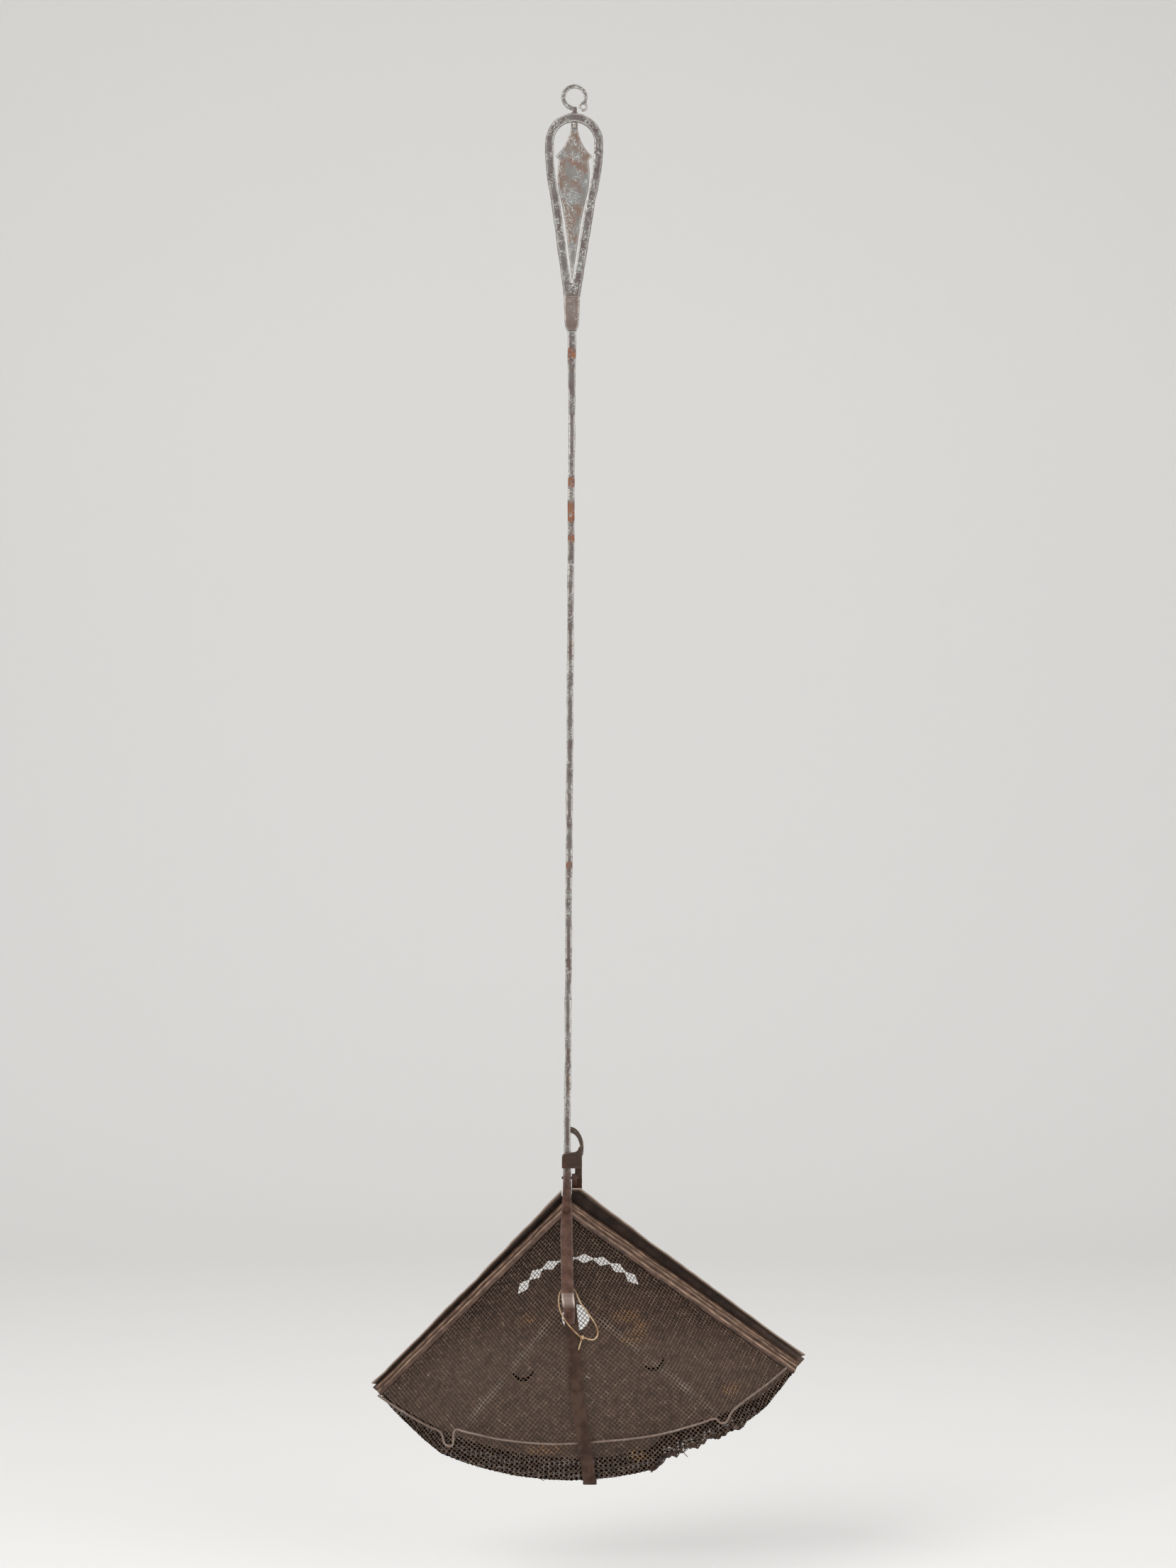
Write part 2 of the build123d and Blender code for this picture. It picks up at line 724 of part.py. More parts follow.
# Arm rivets: two, through the lid and the arm
arm_rivet_places = [(-4.4, -813.0), (-4.4, -825.0)]
lid_face = lid_back.offset(lid_sheet)
arm_seats = [Plane(origin=on(lid_face, x, z), z_dir=mouth.z_dir) for x, z in arm_rivet_places]
write(bore(lid_arm, arm_seats, 1.3, 4), "lid_arm")
write(bore(lid_pan, arm_seats, 1.3, 4), "lid_pan")
write(rivets(arm_seats, 1.2, lid_sheet + arm_sheet + 0.1, 2.3), "arm_rivets")

# Twine: a limp loop round the strap, its two ends in a knot, and one end hanging free
twine_r = 0.5
knot_r = 1.9
knot_center = at(5.3, -888.4, 43.1)
twine_route = [
    (7.0, -888.6, 43.2),
    (12.1, -891.0, 43.0),
    (16.0, -888.4, 42.5),
    (16.6, -884.0, 42.5),
    (14.6, -879.0, 43.0),
    (11.1, -873.5, 44.0),
    (7.6, -868.5, 45.0),
    (3.0, -862.5, 44.0),
    (0.5, -855.5, 39.9),
    (-4.6, -852.6, 38.4),
    (-10.6, -856.0, 39.6),
    (-11.6, -864.5, 44.0),
    (-9.6, -871.5, 47.2),
    (-4.0, -879.5, 47.2),
    (1.0, -885.0, 45.4),
    (3.7, -887.9, 43.6),
]
tail_route = [(4.9, -889.9, 43.0), (4.0, -893.0, 43.0), (2.7, -897.3, 41.9)]
with BuildPart() as twine_loop:
    with BuildLine() as twine_line:
        Polyline(*[at(*p) for p in twine_route])
    twine_path = twine_line.wires()[0]
    with BuildSketch(Plane(origin=twine_path @ 0, z_dir=twine_path % 0)):
        Circle(twine_r)
    sweep(path=twine_path, transition=Transition.RIGHT)
print("twine", twine_loop.part.volume, math.pi * twine_r**2 * twine_path.length, twine_path.length)
write(twine_loop, "twine_loop")

with BuildPart() as twine_tail:
    with BuildLine() as tail_line:
        Polyline(*[at(*p) for p in tail_route])
    tail_path = tail_line.wires()[0]
    with BuildSketch(Plane(origin=tail_path @ 0, z_dir=tail_path % 0)):
        Circle(twine_r)
    sweep(path=tail_path, transition=Transition.RIGHT)
print("tail", twine_tail.part.volume, math.pi * twine_r**2 * tail_path.length, tail_path.length)
write(twine_tail, "twine_tail")

with BuildPart() as twine_knot:
    with Locations(knot_center):
        Sphere(knot_r)
    split(bisect_by=Plane(origin=twine_path @ 0, z_dir=twine_path % 0), keep=Keep.BOTTOM)
    split(bisect_by=Plane(origin=twine_path @ 1, z_dir=-(twine_path % 1)), keep=Keep.BOTTOM)
    split(bisect_by=Plane(origin=tail_path @ 0, z_dir=tail_path % 0), keep=Keep.BOTTOM)
write(twine_knot, "twine_knot")
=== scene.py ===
import json
import math

import bmesh
import bpy
import numpy as np
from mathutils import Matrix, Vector, noise

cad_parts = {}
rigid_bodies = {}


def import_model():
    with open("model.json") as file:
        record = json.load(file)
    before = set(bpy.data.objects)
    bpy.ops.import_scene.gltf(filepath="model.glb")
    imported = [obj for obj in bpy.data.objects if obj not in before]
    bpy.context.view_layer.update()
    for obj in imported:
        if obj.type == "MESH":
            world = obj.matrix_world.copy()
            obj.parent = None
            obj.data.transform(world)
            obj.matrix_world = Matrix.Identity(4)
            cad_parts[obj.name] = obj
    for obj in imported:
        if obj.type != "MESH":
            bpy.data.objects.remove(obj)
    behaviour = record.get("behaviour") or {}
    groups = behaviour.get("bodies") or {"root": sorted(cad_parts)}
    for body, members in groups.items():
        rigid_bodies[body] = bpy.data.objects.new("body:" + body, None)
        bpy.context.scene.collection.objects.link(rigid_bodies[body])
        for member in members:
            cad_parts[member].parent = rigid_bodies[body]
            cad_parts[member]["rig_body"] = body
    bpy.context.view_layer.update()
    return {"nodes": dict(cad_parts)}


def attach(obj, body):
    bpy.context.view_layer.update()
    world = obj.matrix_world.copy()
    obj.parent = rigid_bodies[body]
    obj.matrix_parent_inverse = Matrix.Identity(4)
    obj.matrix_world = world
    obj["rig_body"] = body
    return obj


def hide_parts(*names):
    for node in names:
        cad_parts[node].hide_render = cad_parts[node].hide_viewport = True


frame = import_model()
MM = 0.001

# Camera: level with the middle of the handle, square to the basket's outer side.
# It takes in the whole roaster from the hook to the toe at 2.5 m.
camera_distance = 2.5
seen_height = 1.1237
view_middle_mm = (9.4, -498.7)
picture_middle_px = (829.5, 1106)
mm_per_pixel = 0.508


def put_in_scene(name, data):
    """A new object in the scene."""
    piece = bpy.data.objects.new(name, data)
    bpy.context.scene.collection.objects.link(piece)
    return piece


camera = put_in_scene("camera", bpy.data.cameras.new("camera"))
camera.location = (view_middle_mm[0] * MM, -camera_distance, view_middle_mm[1] * MM)
camera.rotation_euler = (math.radians(90), 0, 0)
camera.data.sensor_fit = "VERTICAL"
camera.data.angle = 2 * math.atan(seen_height / 2 / camera_distance)
camera.data.clip_end = 20
bpy.context.scene.camera = camera
bpy.context.scene.view_settings.view_transform = "Standard"

# Twine: a thin natural-fibre string in a limp loop round the strap, knotted with one end free.
# It is twisted plant fibre, so it shows slanting strands and a dull, dry surface.
twine_radius = 0.0005
twine_route = [
    (7.0, -888.6, 43.2),
    (12.1, -891.0, 43.0),
    (16.0, -888.4, 42.5),
    (16.6, -884.0, 42.5),
    (14.6, -879.0, 43.0),
    (11.1, -873.5, 44.0),
    (7.6, -868.5, 45.0),
    (3.0, -862.5, 44.0),
    (0.5, -855.5, 39.9),
    (-4.6, -852.6, 38.4),
    (-10.6, -856.0, 39.6),
    (-11.6, -864.5, 44.0),
    (-9.6, -871.5, 47.2),
    (-4.0, -879.5, 47.2),
    (1.0, -885.0, 45.4),
    (3.7, -887.9, 43.6),
]
tail_route = [(4.9, -889.9, 43.0), (4.0, -893.0, 43.0), (2.7, -897.3, 41.9)]
knot_middle = (5.3, -888.4, 43.3)
knot_steps = 24
knot_route = []
for k in range(knot_steps + 1):
    turn = 4 * math.pi * k / knot_steps
    knot_route.append(
        (
            knot_middle[0] + 0.9 * math.cos(turn),
            knot_middle[1] + 0.9 * math.sin(turn * 1.5),
            knot_middle[2] + 0.8 * math.sin(turn),
        )
    )


def linear(hex_colour):
    """An sRGB hex colour as linear red, green, blue and alpha."""
    parts = [int(hex_colour[i : i + 2], 16) / 255 for i in (1, 3, 5)]
    return [p / 12.92 if p <= 0.04045 else ((p + 0.055) / 1.055) ** 2.4 for p in parts] + [1.0]


def set_inputs(tree, node, inputs):
    """Set or link a node's inputs, given by name or number."""
    for key, value in inputs.items():
        socket = node.inputs[key]
        if isinstance(value, bpy.types.NodeSocket):
            tree.links.new(value, socket)
        else:
            socket.default_value = value


def add_node(tree, kind, settings=None, inputs=None):
    """Add a node with its settings and inputs."""
    node = tree.nodes.new(kind)
    for key, value in (settings or {}).items():
        setattr(node, key, value)
    set_inputs(tree, node, inputs or {})
    return node


def new_material(name):
    """An empty material and its tree, with a principled shader joined to the output."""
    material = bpy.data.materials.new(name)
    material.use_nodes = True
    tree = material.node_tree
    tree.nodes.clear()
    shader = add_node(tree, "ShaderNodeBsdfPrincipled")
    add_node(tree, "ShaderNodeOutputMaterial", None, {"Surface": shader.outputs[0]})
    return material, tree, shader


def string_curve(name, route, radius):
    """A round string along a route given in millimetres as x, z and the distance out."""
    data = bpy.data.curves.new(name, "CURVE")
    data.dimensions = "3D"
    data.bevel_depth = radius
    data.bevel_resolution = 3
    data.resolution_u = 8
    data.use_fill_caps = True
    spline = data.splines.new("NURBS")
    spline.points.add(len(route) - 1)
    for point, (x, z, out) in zip(spline.points, route):
        point.co = (x * MM, -out * MM, z * MM, 1)
    spline.order_u = 3
    spline.use_endpoint_u = True
    return put_in_scene(name, data)


def shown_mesh(piece):
    """A new mesh of a piece as it shows, with its curve or modifiers worked out."""
    shown = piece.evaluated_get(bpy.context.evaluated_depsgraph_get())
    return bpy.data.meshes.new_from_object(shown)


def string_form(name, string, material):
    """A string's shape as a mesh piece of one material, in the string's place."""
    mesh = shown_mesh(string)
    bpy.data.objects.remove(string)
    mesh.materials.clear()
    mesh.materials.append(material)
    return put_in_scene(name, mesh)


def grain(tree, place, scale, detail, rough=0.5):
    """Noise through the object, from 0 to 1."""
    inputs = {"Vector": place, "Scale": scale, "Detail": detail, "Roughness": rough}
    return add_node(tree, "ShaderNodeTexNoise", None, inputs).outputs["Fac"]


def two_tone(tree, value, low, low_colour, high, high_colour):
    """A colour ramp from one hex colour at low to another at high."""
    ramp = add_node(tree, "ShaderNodeValToRGB", None, {"Fac": value})
    first, last = ramp.color_ramp.elements
    first.position, first.color = low, linear(low_colour)
    last.position, last.color = high, linear(high_colour)
    return ramp


def bumped(tree, height, distance, strength, beneath=None):
    """A surface normal with a relief on it, over the relief beneath where there is one."""
    inputs = {"Height": height, "Distance": distance, "Strength": strength}
    if beneath:
        inputs["Normal"] = beneath
    return add_node(tree, "ShaderNodeBump", None, inputs).outputs["Normal"]


def twine_fibre():
    """Twisted plant fibre: fine slanting strands, dry and dull."""
    material, tree, shader = new_material("natural_twine")
    place = add_node(tree, "ShaderNodeTexCoord").outputs["Object"]
    wave = {"Vector": place, "Scale": 420, "Distortion": 3.0}
    strands = add_node(tree, "ShaderNodeTexWave", {"bands_direction": "DIAGONAL"}, wave)
    ramp = two_tone(tree, grain(tree, place, 160, 3.0), 0.38, "#967350", 0.66, "#c9b292")
    strand_relief = bumped(tree, strands.outputs["Fac"], 0.0002, 0.8)
    surface = {"Base Color": ramp.outputs["Color"], "Normal": strand_relief, "Roughness": 0.9}
    set_inputs(tree, shader, surface)
    return material


twine_material = twine_fibre()
twine = string_curve("twine", twine_route, twine_radius)
tail = string_curve("twine_end", tail_route, twine_radius)
knot = string_curve("twine_knot_turns", knot_route, 0.0006)
tail_form = string_form("twine_end_form", tail, twine_material)
knot_form = string_form("twine_knot_turns_form", knot, twine_material)
for piece in (tail_form, knot_form):
    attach(piece, "handle")
twine.data.materials.append(twine_material)
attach(twine, "handle")
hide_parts("twine_loop")
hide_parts("twine_tail")
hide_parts("twine_knot")

# Studio: a plain pale floor that curves up into a backdrop, and soft lamps.
# None of it belongs to the roaster.
floor_height = -1.08
floor_reach = 6.0
curve_start, curve_radius, curve_steps = 1.8, 1.2, 12
sweep = [(-floor_reach, floor_height), (curve_start, floor_height)]
for k in range(1, curve_steps + 1):
    turn = math.radians(90 * k / curve_steps)
    sweep.append(
        (
            curve_start + curve_radius * math.sin(turn),
            floor_height + curve_radius * (1 - math.cos(turn)),
        )
    )
sweep.append((curve_start + curve_radius, 4.0))
ground_mesh = bpy.data.meshes.new("floor")
ground_mesh.from_pydata(
    [(x, y, z) for y, z in sweep for x in (-floor_reach, floor_reach)],
    [],
    [(2 * k, 2 * k + 1, 2 * k + 3, 2 * k + 2) for k in range(len(sweep) - 1)],
)
ground_mesh.shade_smooth()
ground = put_in_scene("floor", ground_mesh)
ground_material, ground_tree, ground_shader = new_material("painted_backdrop")
set_inputs(ground_tree, ground_shader, {"Base Color": linear("#ebeae8"), "Roughness": 0.95})
ground_mesh.materials.append(ground_material)
lamp_target = Vector((0, 0, -0.55))
for name, place, size, power in (
    ("key", (-1.6, -2.2, 0.9), 1.6, 55),
    ("fill", (1.9, -2.0, -0.2), 1.8, 30),
    ("top", (0.1, 0.2, 1.6), 1.5, 22),
):
    lamp = put_in_scene(name, bpy.data.lights.new(name, "AREA"))
    lamp.data.energy = power
    lamp.data.size = size
    lamp.location = place
    lamp.rotation_euler = (lamp_target - Vector(place)).to_track_quat("-Z", "Y").to_euler()
world = bpy.data.worlds.new("studio")
world.use_nodes = True
world.node_tree.nodes["Background"].inputs["Color"].default_value = linear("#e4e4e4")
world.node_tree.nodes["Background"].inputs["Strength"].default_value = 0.55
bpy.context.scene.world = world

# Hook, grip and handle: wrought iron, hammered at the anvil, so no face is flat or edge sharp.
# Hands have rubbed the edges bright, and a purple-brown film with pale grey bloom lies between.
# Near the basket the fire has browned it and taken its shine.
fire_starts = -0.758
fire_fade = 0.03


def patches(tree, place, scale, low, high, detail=4.0, rough=0.6):
    """Soft-edged patches: none where the noise is under low, full where it is over high."""
    span = add_node(
        tree,
        "ShaderNodeMapRange",
        {"interpolation_type": "SMOOTHSTEP"},
        {"Value": grain(tree, place, scale, detail, rough), "From Min": low, "From Max": high},
    )
    return span.outputs["Result"]


def blend(tree, share, below, above):
    """A colour between two others, nearer to above as the share grows."""
    inputs = {0: share, 6: below, 7: above}
    return add_node(tree, "ShaderNodeMix", {"data_type": "RGBA"}, inputs).outputs[2]


def maths(tree, operation, *values):
    """The result of one sum, done by a node."""
    inputs = dict(enumerate(values))
    return add_node(tree, "ShaderNodeMath", {"operation": operation}, inputs).outputs[0]


def fade(tree, value, start, end):
    """A number that goes from start to end as a value goes from 0 to 1."""
    inputs = {"Value": value, "To Min": start, "To Max": end}
    return add_node(tree, "ShaderNodeMapRange", None, inputs).outputs["Result"]


def stored(tree, name):
    """The number that the mesh holds under a name at each point."""
    return add_node(tree, "ShaderNodeAttribute", {"attribute_name": name}).outputs["Fac"]


def forged_iron(
    name, film, grey, bloom, rubbed, bloom_share, rust="#7a4a30", brown=("#462f26", "#5c4135")
):
    """Wrought iron under an old oxide film, mottled at 1 to 20 mm.

    The mesh's own numbers say where it is rusty, browned by the fire, rubbed on an edge, or bare
    with a painted highlight.
    """
    material, tree, shader = new_material(name)
    place = add_node(tree, "ShaderNodeTexCoord").outputs["Object"]
    colour = blend(tree, patches(tree, place, 70, 0.40, 0.60), linear(film), linear(grey))
    bloom_low, bloom_high = 0.62 - bloom_share * 0.3, 0.72 - bloom_share * 0.2
    fine_bloom = patches(tree, place, 900, 0.46, 0.62, 6.0, 0.7)
    broad_bloom = patches(tree, place, 110, bloom_low, bloom_high)
    colour = blend(tree, maths(tree, "MULTIPLY", fine_bloom, broad_bloom), colour, linear(bloom))
    stray_rust = maths(
        tree,
        "MULTIPLY",
        patches(tree, place, 160, 0.60, 0.74),
        patches(tree, place, 700, 0.40, 0.62),
    )
    colour = blend(tree, stray_rust, colour, linear(rust))
    rust_breaks = patches(tree, place, 420, 0.38, 0.60, 5.0, 0.7)
    broken_rust = maths(tree, "MULTIPLY", stored(tree, "rust"), rust_breaks)
    colour = blend(tree, broken_rust, colour, linear(rust))
    fire = stored(tree, "fire")
    browned = blend(tree, patches(tree, place, 120, 0.38, 0.62), linear(brown[0]), linear(brown[1]))
    colour = blend(tree, maths(tree, "MULTIPLY", fire, 0.92), colour, browned)
    cleaner = fade(tree, fire, 1.0, 0.1)
    rubbing = maths(tree, "MULTIPLY", stored(tree, "rub"), cleaner)
    rub_here = maths(tree, "MULTIPLY", rubbing, patches(tree, place, 500, 0.30, 0.55))
    colour = blend(tree, rub_here, colour, linear(rubbed))
    # Bare metal with a painted highlight, where the mesh says so.
    colour = blend(tree, stored(tree, "bare_and_highlight"), colour, linear("#cdbdb2"))
    gloss = fade(tree, rub_here, 0.56, 0.32)
    dents = bumped(tree, grain(tree, place, 260, 3.0), 0.0012, 0.6)
    surface = {
        "Base Color": colour,
        "Roughness": maths(tree, "MAXIMUM", gloss, maths(tree, "MULTIPLY", fire, 0.85)),
        "Metallic": fade(tree, fire, 0.62, 0.2),
        "Specular IOR Level": fade(tree, fire, 0.5, 0.2),
        "Normal": bumped(tree, grain(tree, place, 1400, 4.0, 0.7), 0.0003, 0.6, dents),
    }
    set_inputs(tree, shader, surface)
    return material


def store(mesh, name, values):
    """Keep a number for each point of a mesh under a name."""
    mesh.attributes.new(name, "FLOAT", "POINT").data.foreach_set("value", values)


def points_of(mesh, name="co"):
    """The places or normals of a mesh's points, one a row."""
    values = np.empty(len(mesh.vertices) * 3)
    mesh.vertices.foreach_get(name, values)
    return values.reshape(-1, 3)


def averaging(mesh):
    """A function that takes rows of values, one a point, to the mean of each point's neighbours."""
    count = len(mesh.vertices)
    pairs = np.empty(len(mesh.edges) * 2, int)
    mesh.edges.foreach_get("vertices", pairs)
    pairs = pairs.reshape(-1, 2)
    ends = np.concatenate([pairs[:, 0], pairs[:, 1]])
    others = np.concatenate([pairs[:, 1], pairs[:, 0]])
    links = np.bincount(ends, minlength=count)[:, None]

    def averaged(values):
        sums = [np.bincount(ends, column, count) for column in values[others].T]
        return np.stack(sums, 1) / links

    return averaged


def inside_band(heights, band, edge):
    """How far points lie inside a band of heights, in widths of its faded edge."""
    z_low, z_high = band
    return np.minimum(heights - z_low, z_high - heights) / edge


def hammered(node, cell, wobble, wave, material, rust_at=(), bare_and_highlight_at=None, fatter=0.0):
    """A hand-forged copy of a CAD node: its edges eased and its faces moved by hammer-sized waves.

    cell is the size of its mesh, wobble and wave are the height and length of its waves, and
    fatter is what its sides gain, all in metres. rust_at lists bands of heights that are rusty,
    and bare_and_highlight_at is the one band where the metal is bare and carries a painted
    highlight.
    """
    source = frame["nodes"][node]
    shape = bmesh.new()
    shape.from_mesh(source.data)
    bmesh.ops.remove_doubles(shape, verts=shape.verts, dist=1e-6)
    mesh = bpy.data.meshes.new(node + "_forged")
    shape.to_mesh(mesh)
    shape.free()
    piece = put_in_scene(node + "_forged", mesh)
    remesh = piece.modifiers.new("even_cells", "REMESH")
    remesh.mode = "VOXEL"
    remesh.voxel_size = cell
    ease = piece.modifiers.new("eased_edges", "SMOOTH")
    ease.factor = 0.5
    ease.iterations = 4
    solid = shown_mesh(piece)
    piece.modifiers.clear()
    piece.data = solid
    spots, normals, averaged = points_of(solid), points_of(solid, "normal"), averaging(solid)
    bulge = ((spots - averaged(spots)) * normals).sum(1, keepdims=True) / cell
    for _ in range(2):
        bulge = averaged(bulge)
    heights = spots[:, 2]
    rust = np.zeros(len(spots))
    for band in rust_at:
        rust = np.maximum(rust, np.clip(inside_band(heights, band, 0.002) + 0.4, 0, 1))
    rub = np.clip((bulge[:, 0] - 0.02) / 0.09, 0, 1) * (1 - rust)
    bare_and_highlight = np.zeros(len(spots))
    if bare_and_highlight_at:
        bare_and_highlight = np.clip(inside_band(heights, bare_and_highlight_at, 0.004), 0, 1)
        bare_and_highlight *= 0.3 + 0.6 * np.clip(rub * 3, 0, 1)
    store(solid, "rust", rust)
    store(solid, "rub", rub)
    store(solid, "fire", np.clip((fire_starts - heights) / fire_fade, 0, 1))
    store(solid, "bare_and_highlight", bare_and_highlight)
    spots += normals * np.array([fatter, 0, fatter])
    for i, spot in enumerate(spots):
        here = Vector(spot) / wave
        lift = noise.noise(here) + 0.4 * noise.noise(here * 2.7)
        spots[i] += normals[i] * (lift * wobble - wobble * 0.2)
    solid.vertices.foreach_set("co", spots.ravel())
    solid.shade_smooth()
    solid.materials.clear()
    solid.materials.append(material)
    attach(piece, source["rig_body"])
    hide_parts(node)
    return piece


def clamped(value):
    """A number kept between 0 and 1."""
    return min(1.0, max(0.0, value))


def from_picture(x, y):
    """The place in the front view, in millimetres, of a point of the picture."""
    return (
        (x - picture_middle_px[0]) * mm_per_pixel + view_middle_mm[0],
        view_middle_mm[1] - (y - picture_middle_px[1]) * mm_per_pixel,
    )


grip_iron = forged_iron(
    "wrought_iron_grip", "#5e524f", "#6b6562", "#b4b6b2", "#cfcbc4", 0.62, "#5a3a2c"
)
collar_iron = forged_iron(
    "wrought_iron_collar", "#6f605a", "#7b706a", "#9b958f", "#c6c0b9", 0.25, "#54352a"
)
leaf_iron = forged_iron(
    "wrought_iron_leaf", "#79655a", "#7a7875", "#a9adab", "#bab5ae", 0.68, "#84553c"
)
bar_iron = forged_iron(
    "wrought_iron_bar", "#60534f", "#6a6461", "#b0b0ab", "#d2cec7", 0.52, "#8a5638"
)
hammered("hanging_hook", 0.0003, 0.00012, 0.004, grip_iron)
hammered("leaf_ornament", 0.0005, 0.0001, 0.010, leaf_iron)
collar_seam = [(-0.1502, -0.1479)]
bow = hammered("grip_bow", 0.0006, 0.00035, 0.012, grip_iron, collar_seam)
foot_top, foot_sinks = -0.1470, 0.0009
for vert in bow.data.vertices:
    vert.co.z -= foot_sinks * clamped((foot_top - vert.co.z) / MM)
hammered("collar", 0.0005, 0.0002, 0.008, collar_iron, collar_seam)
# The rusty stretches of the bar, as rows of the picture.
bar_rust = []
for top_row, low_row in ((492, 506), (674, 688), (706, 737), (754, 765), (1216, 1225)):
    bar_rust.append((from_picture(0, low_row)[1] * MM, from_picture(0, top_row)[1] * MM))
# The strap's bend, as a band of heights: bare metal with a painted highlight.
strap_bend = (-0.8680, -0.8560)
hammered("handle_bar", 0.0006, 0.0003, 0.011, bar_iron, bar_rust, strap_bend)

# Basket corners: the folds of the wire cloth meet at a bend under the strap.
# The side edges and the lid's seat lie in one leaning plane, and the toe is an arc.


def at(x, z, out=0.0):
    """A point in metres, from its place in the front view and its distance out, in millimetres."""
    return Vector((x, -out, z)) * MM


def on(origin, normal, x, z):
    """The point of a plane that is seen at x, z, in millimetres, from the front."""
    x, z = x * MM, z * MM
    deeper = (normal.x * (x - origin.x) + normal.z * (z - origin.z)) / normal.y
    return Vector((x, origin.y - deeper, z))


def facing(a, b, c):
    """The normal of the plane through three points, facing the front."""
    normal = (b - a).cross(c - a).normalized()
    return -normal if normal.y > 0 else normal


apex = at(-5.6, -797.9, -6.0)
bend = at(-3.0, -858.4, 41.0)
lean = math.radians(4.85)
slope = 0.24
mouth_normal = Vector((slope * math.sin(lean), -1, -slope * math.cos(lean))).normalized()
edge_left = on(apex, mouth_normal, -145.5, -938.9)
edge_right = on(apex, mouth_normal, 163.3, -920.9)
left_normal = facing(apex, edge_left, bend)
right_normal = facing(apex, edge_right, bend)
corner_left = on(apex, left_normal, -88.8, -964.9)
corner_right = on(apex, right_normal, 106.1, -947.8)
floor_normal = facing(corner_left, corner_right, bend)
toe_middle = on(bend, floor_normal, 6.6, -993.0) + Vector((0, 0.004, 0))
toe_normal = facing(corner_left, corner_right, toe_middle)
toe_center = Vector((-0.3266, 0, -771.612)) * MM
toe_radius = 0.221496
panels = (
    (apex, left_normal),
    (apex, right_normal),
    (bend, floor_normal),
    (corner_left, toe_normal),
)

# Wire cloth: ten wires to the inch, plain woven of dark iron wire and folded to the basket's
# shape. Each wire passes over and under the ones it crosses, and age has pulled the rows a
# little out of line.
cloth_pitch = 0.00254
cloth_wire = 0.00026
torn_from, torn_to = 0.054, 0.136
# Spots of painted golden glint on the cloth, as their place and size in the picture, in pixels.
golden_glint_spots = [
    (769, 2043, 26, 9),
    (884, 1856, 20, 9),
    (904, 1876, 10, 16),
    (890, 1889, 14, 8),
    (900, 2052, 13, 8),
    (1032, 1958, 14, 9),
    (745, 1860, 10, 8),
]


def wire_cloth_tree():
    """Nodes that turn straight lines in a flat grid into round, woven, slightly uneven wires."""
    tree = bpy.data.node_groups.new("woven_wires", "GeometryNodeTree")
    face = tree.interface
    face.new_socket("Lines", in_out="INPUT", socket_type="NodeSocketGeometry")
    for name in ("Pitch", "Wire radius", "Step", "Unevenness"):
        face.new_socket(name, in_out="INPUT", socket_type="NodeSocketFloat")
    face.new_socket("Material", in_out="INPUT", socket_type="NodeSocketMaterial")
    face.new_socket("Cloth", in_out="OUTPUT", socket_type="NodeSocketGeometry")
    given = add_node(tree, "NodeGroupInput").outputs

    def vectors(operation, inputs):
        return add_node(tree, "ShaderNodeVectorMath", {"operation": operation}, inputs).outputs[0]

    def shaped(kind, inputs, settings=None):
        return add_node(tree, kind, settings, inputs).outputs[0]

    place = add_node(tree, "GeometryNodeInputPosition").outputs[0]
    rate = maths(tree, "DIVIDE", math.pi, given["Pitch"])
    turns = vectors("SCALE", {0: place, "Scale": rate})
    along, across, _ = add_node(tree, "ShaderNodeSeparateXYZ", None, {0: turns}).outputs
    wave = maths(tree, "MULTIPLY", maths(tree, "COSINE", along), maths(tree, "COSINE", across))
    weave_set = shaped(
        "GeometryNodeInputNamedAttribute", {"Name": "weave_set"}, {"data_type": "FLOAT"}
    )
    sided = maths(tree, "MULTIPLY", wave, weave_set)
    height = maths(tree, "MULTIPLY", sided, given["Wire radius"])
    lift = shaped("ShaderNodeCombineXYZ", {2: height})
    slow = {"Vector": place, "Scale": 45, "Detail": 2.0}
    drift = add_node(tree, "ShaderNodeTexNoise", None, slow).outputs["Color"]
    centred = vectors("SUBTRACT", {0: drift, 1: (0.5, 0.5, 0.5)})
    pulled = vectors("SCALE", {0: centred, "Scale": given["Unevenness"]})
    moved = vectors("ADD", {0: lift, 1: pulled})
    lines = shaped("GeometryNodeMeshToCurve", {"Mesh": given["Lines"]})
    fine = shaped(
        "GeometryNodeResampleCurve", {"Curve": lines, "Length": given["Step"]}, {"mode": "LENGTH"}
    )
    woven = shaped("GeometryNodeSetPosition", {"Geometry": fine, "Offset": moved})
    section = shaped(
        "GeometryNodeCurvePrimitiveCircle", {"Resolution": 4, "Radius": given["Wire radius"]}
    )
    wires = shaped(
        "GeometryNodeCurveToMesh", {"Curve": woven, "Profile Curve": section, "Fill Caps": True}
    )
    real = shaped("GeometryNodeRealizeInstances", {0: wires})
    done = shaped("GeometryNodeSetMaterial", {"Geometry": real, "Material": given["Material"]})
    smooth = shaped("GeometryNodeSetShadeSmooth", {"Geometry": done})
    add_node(tree, "NodeGroupOutput", None, {0: smooth})
    return tree


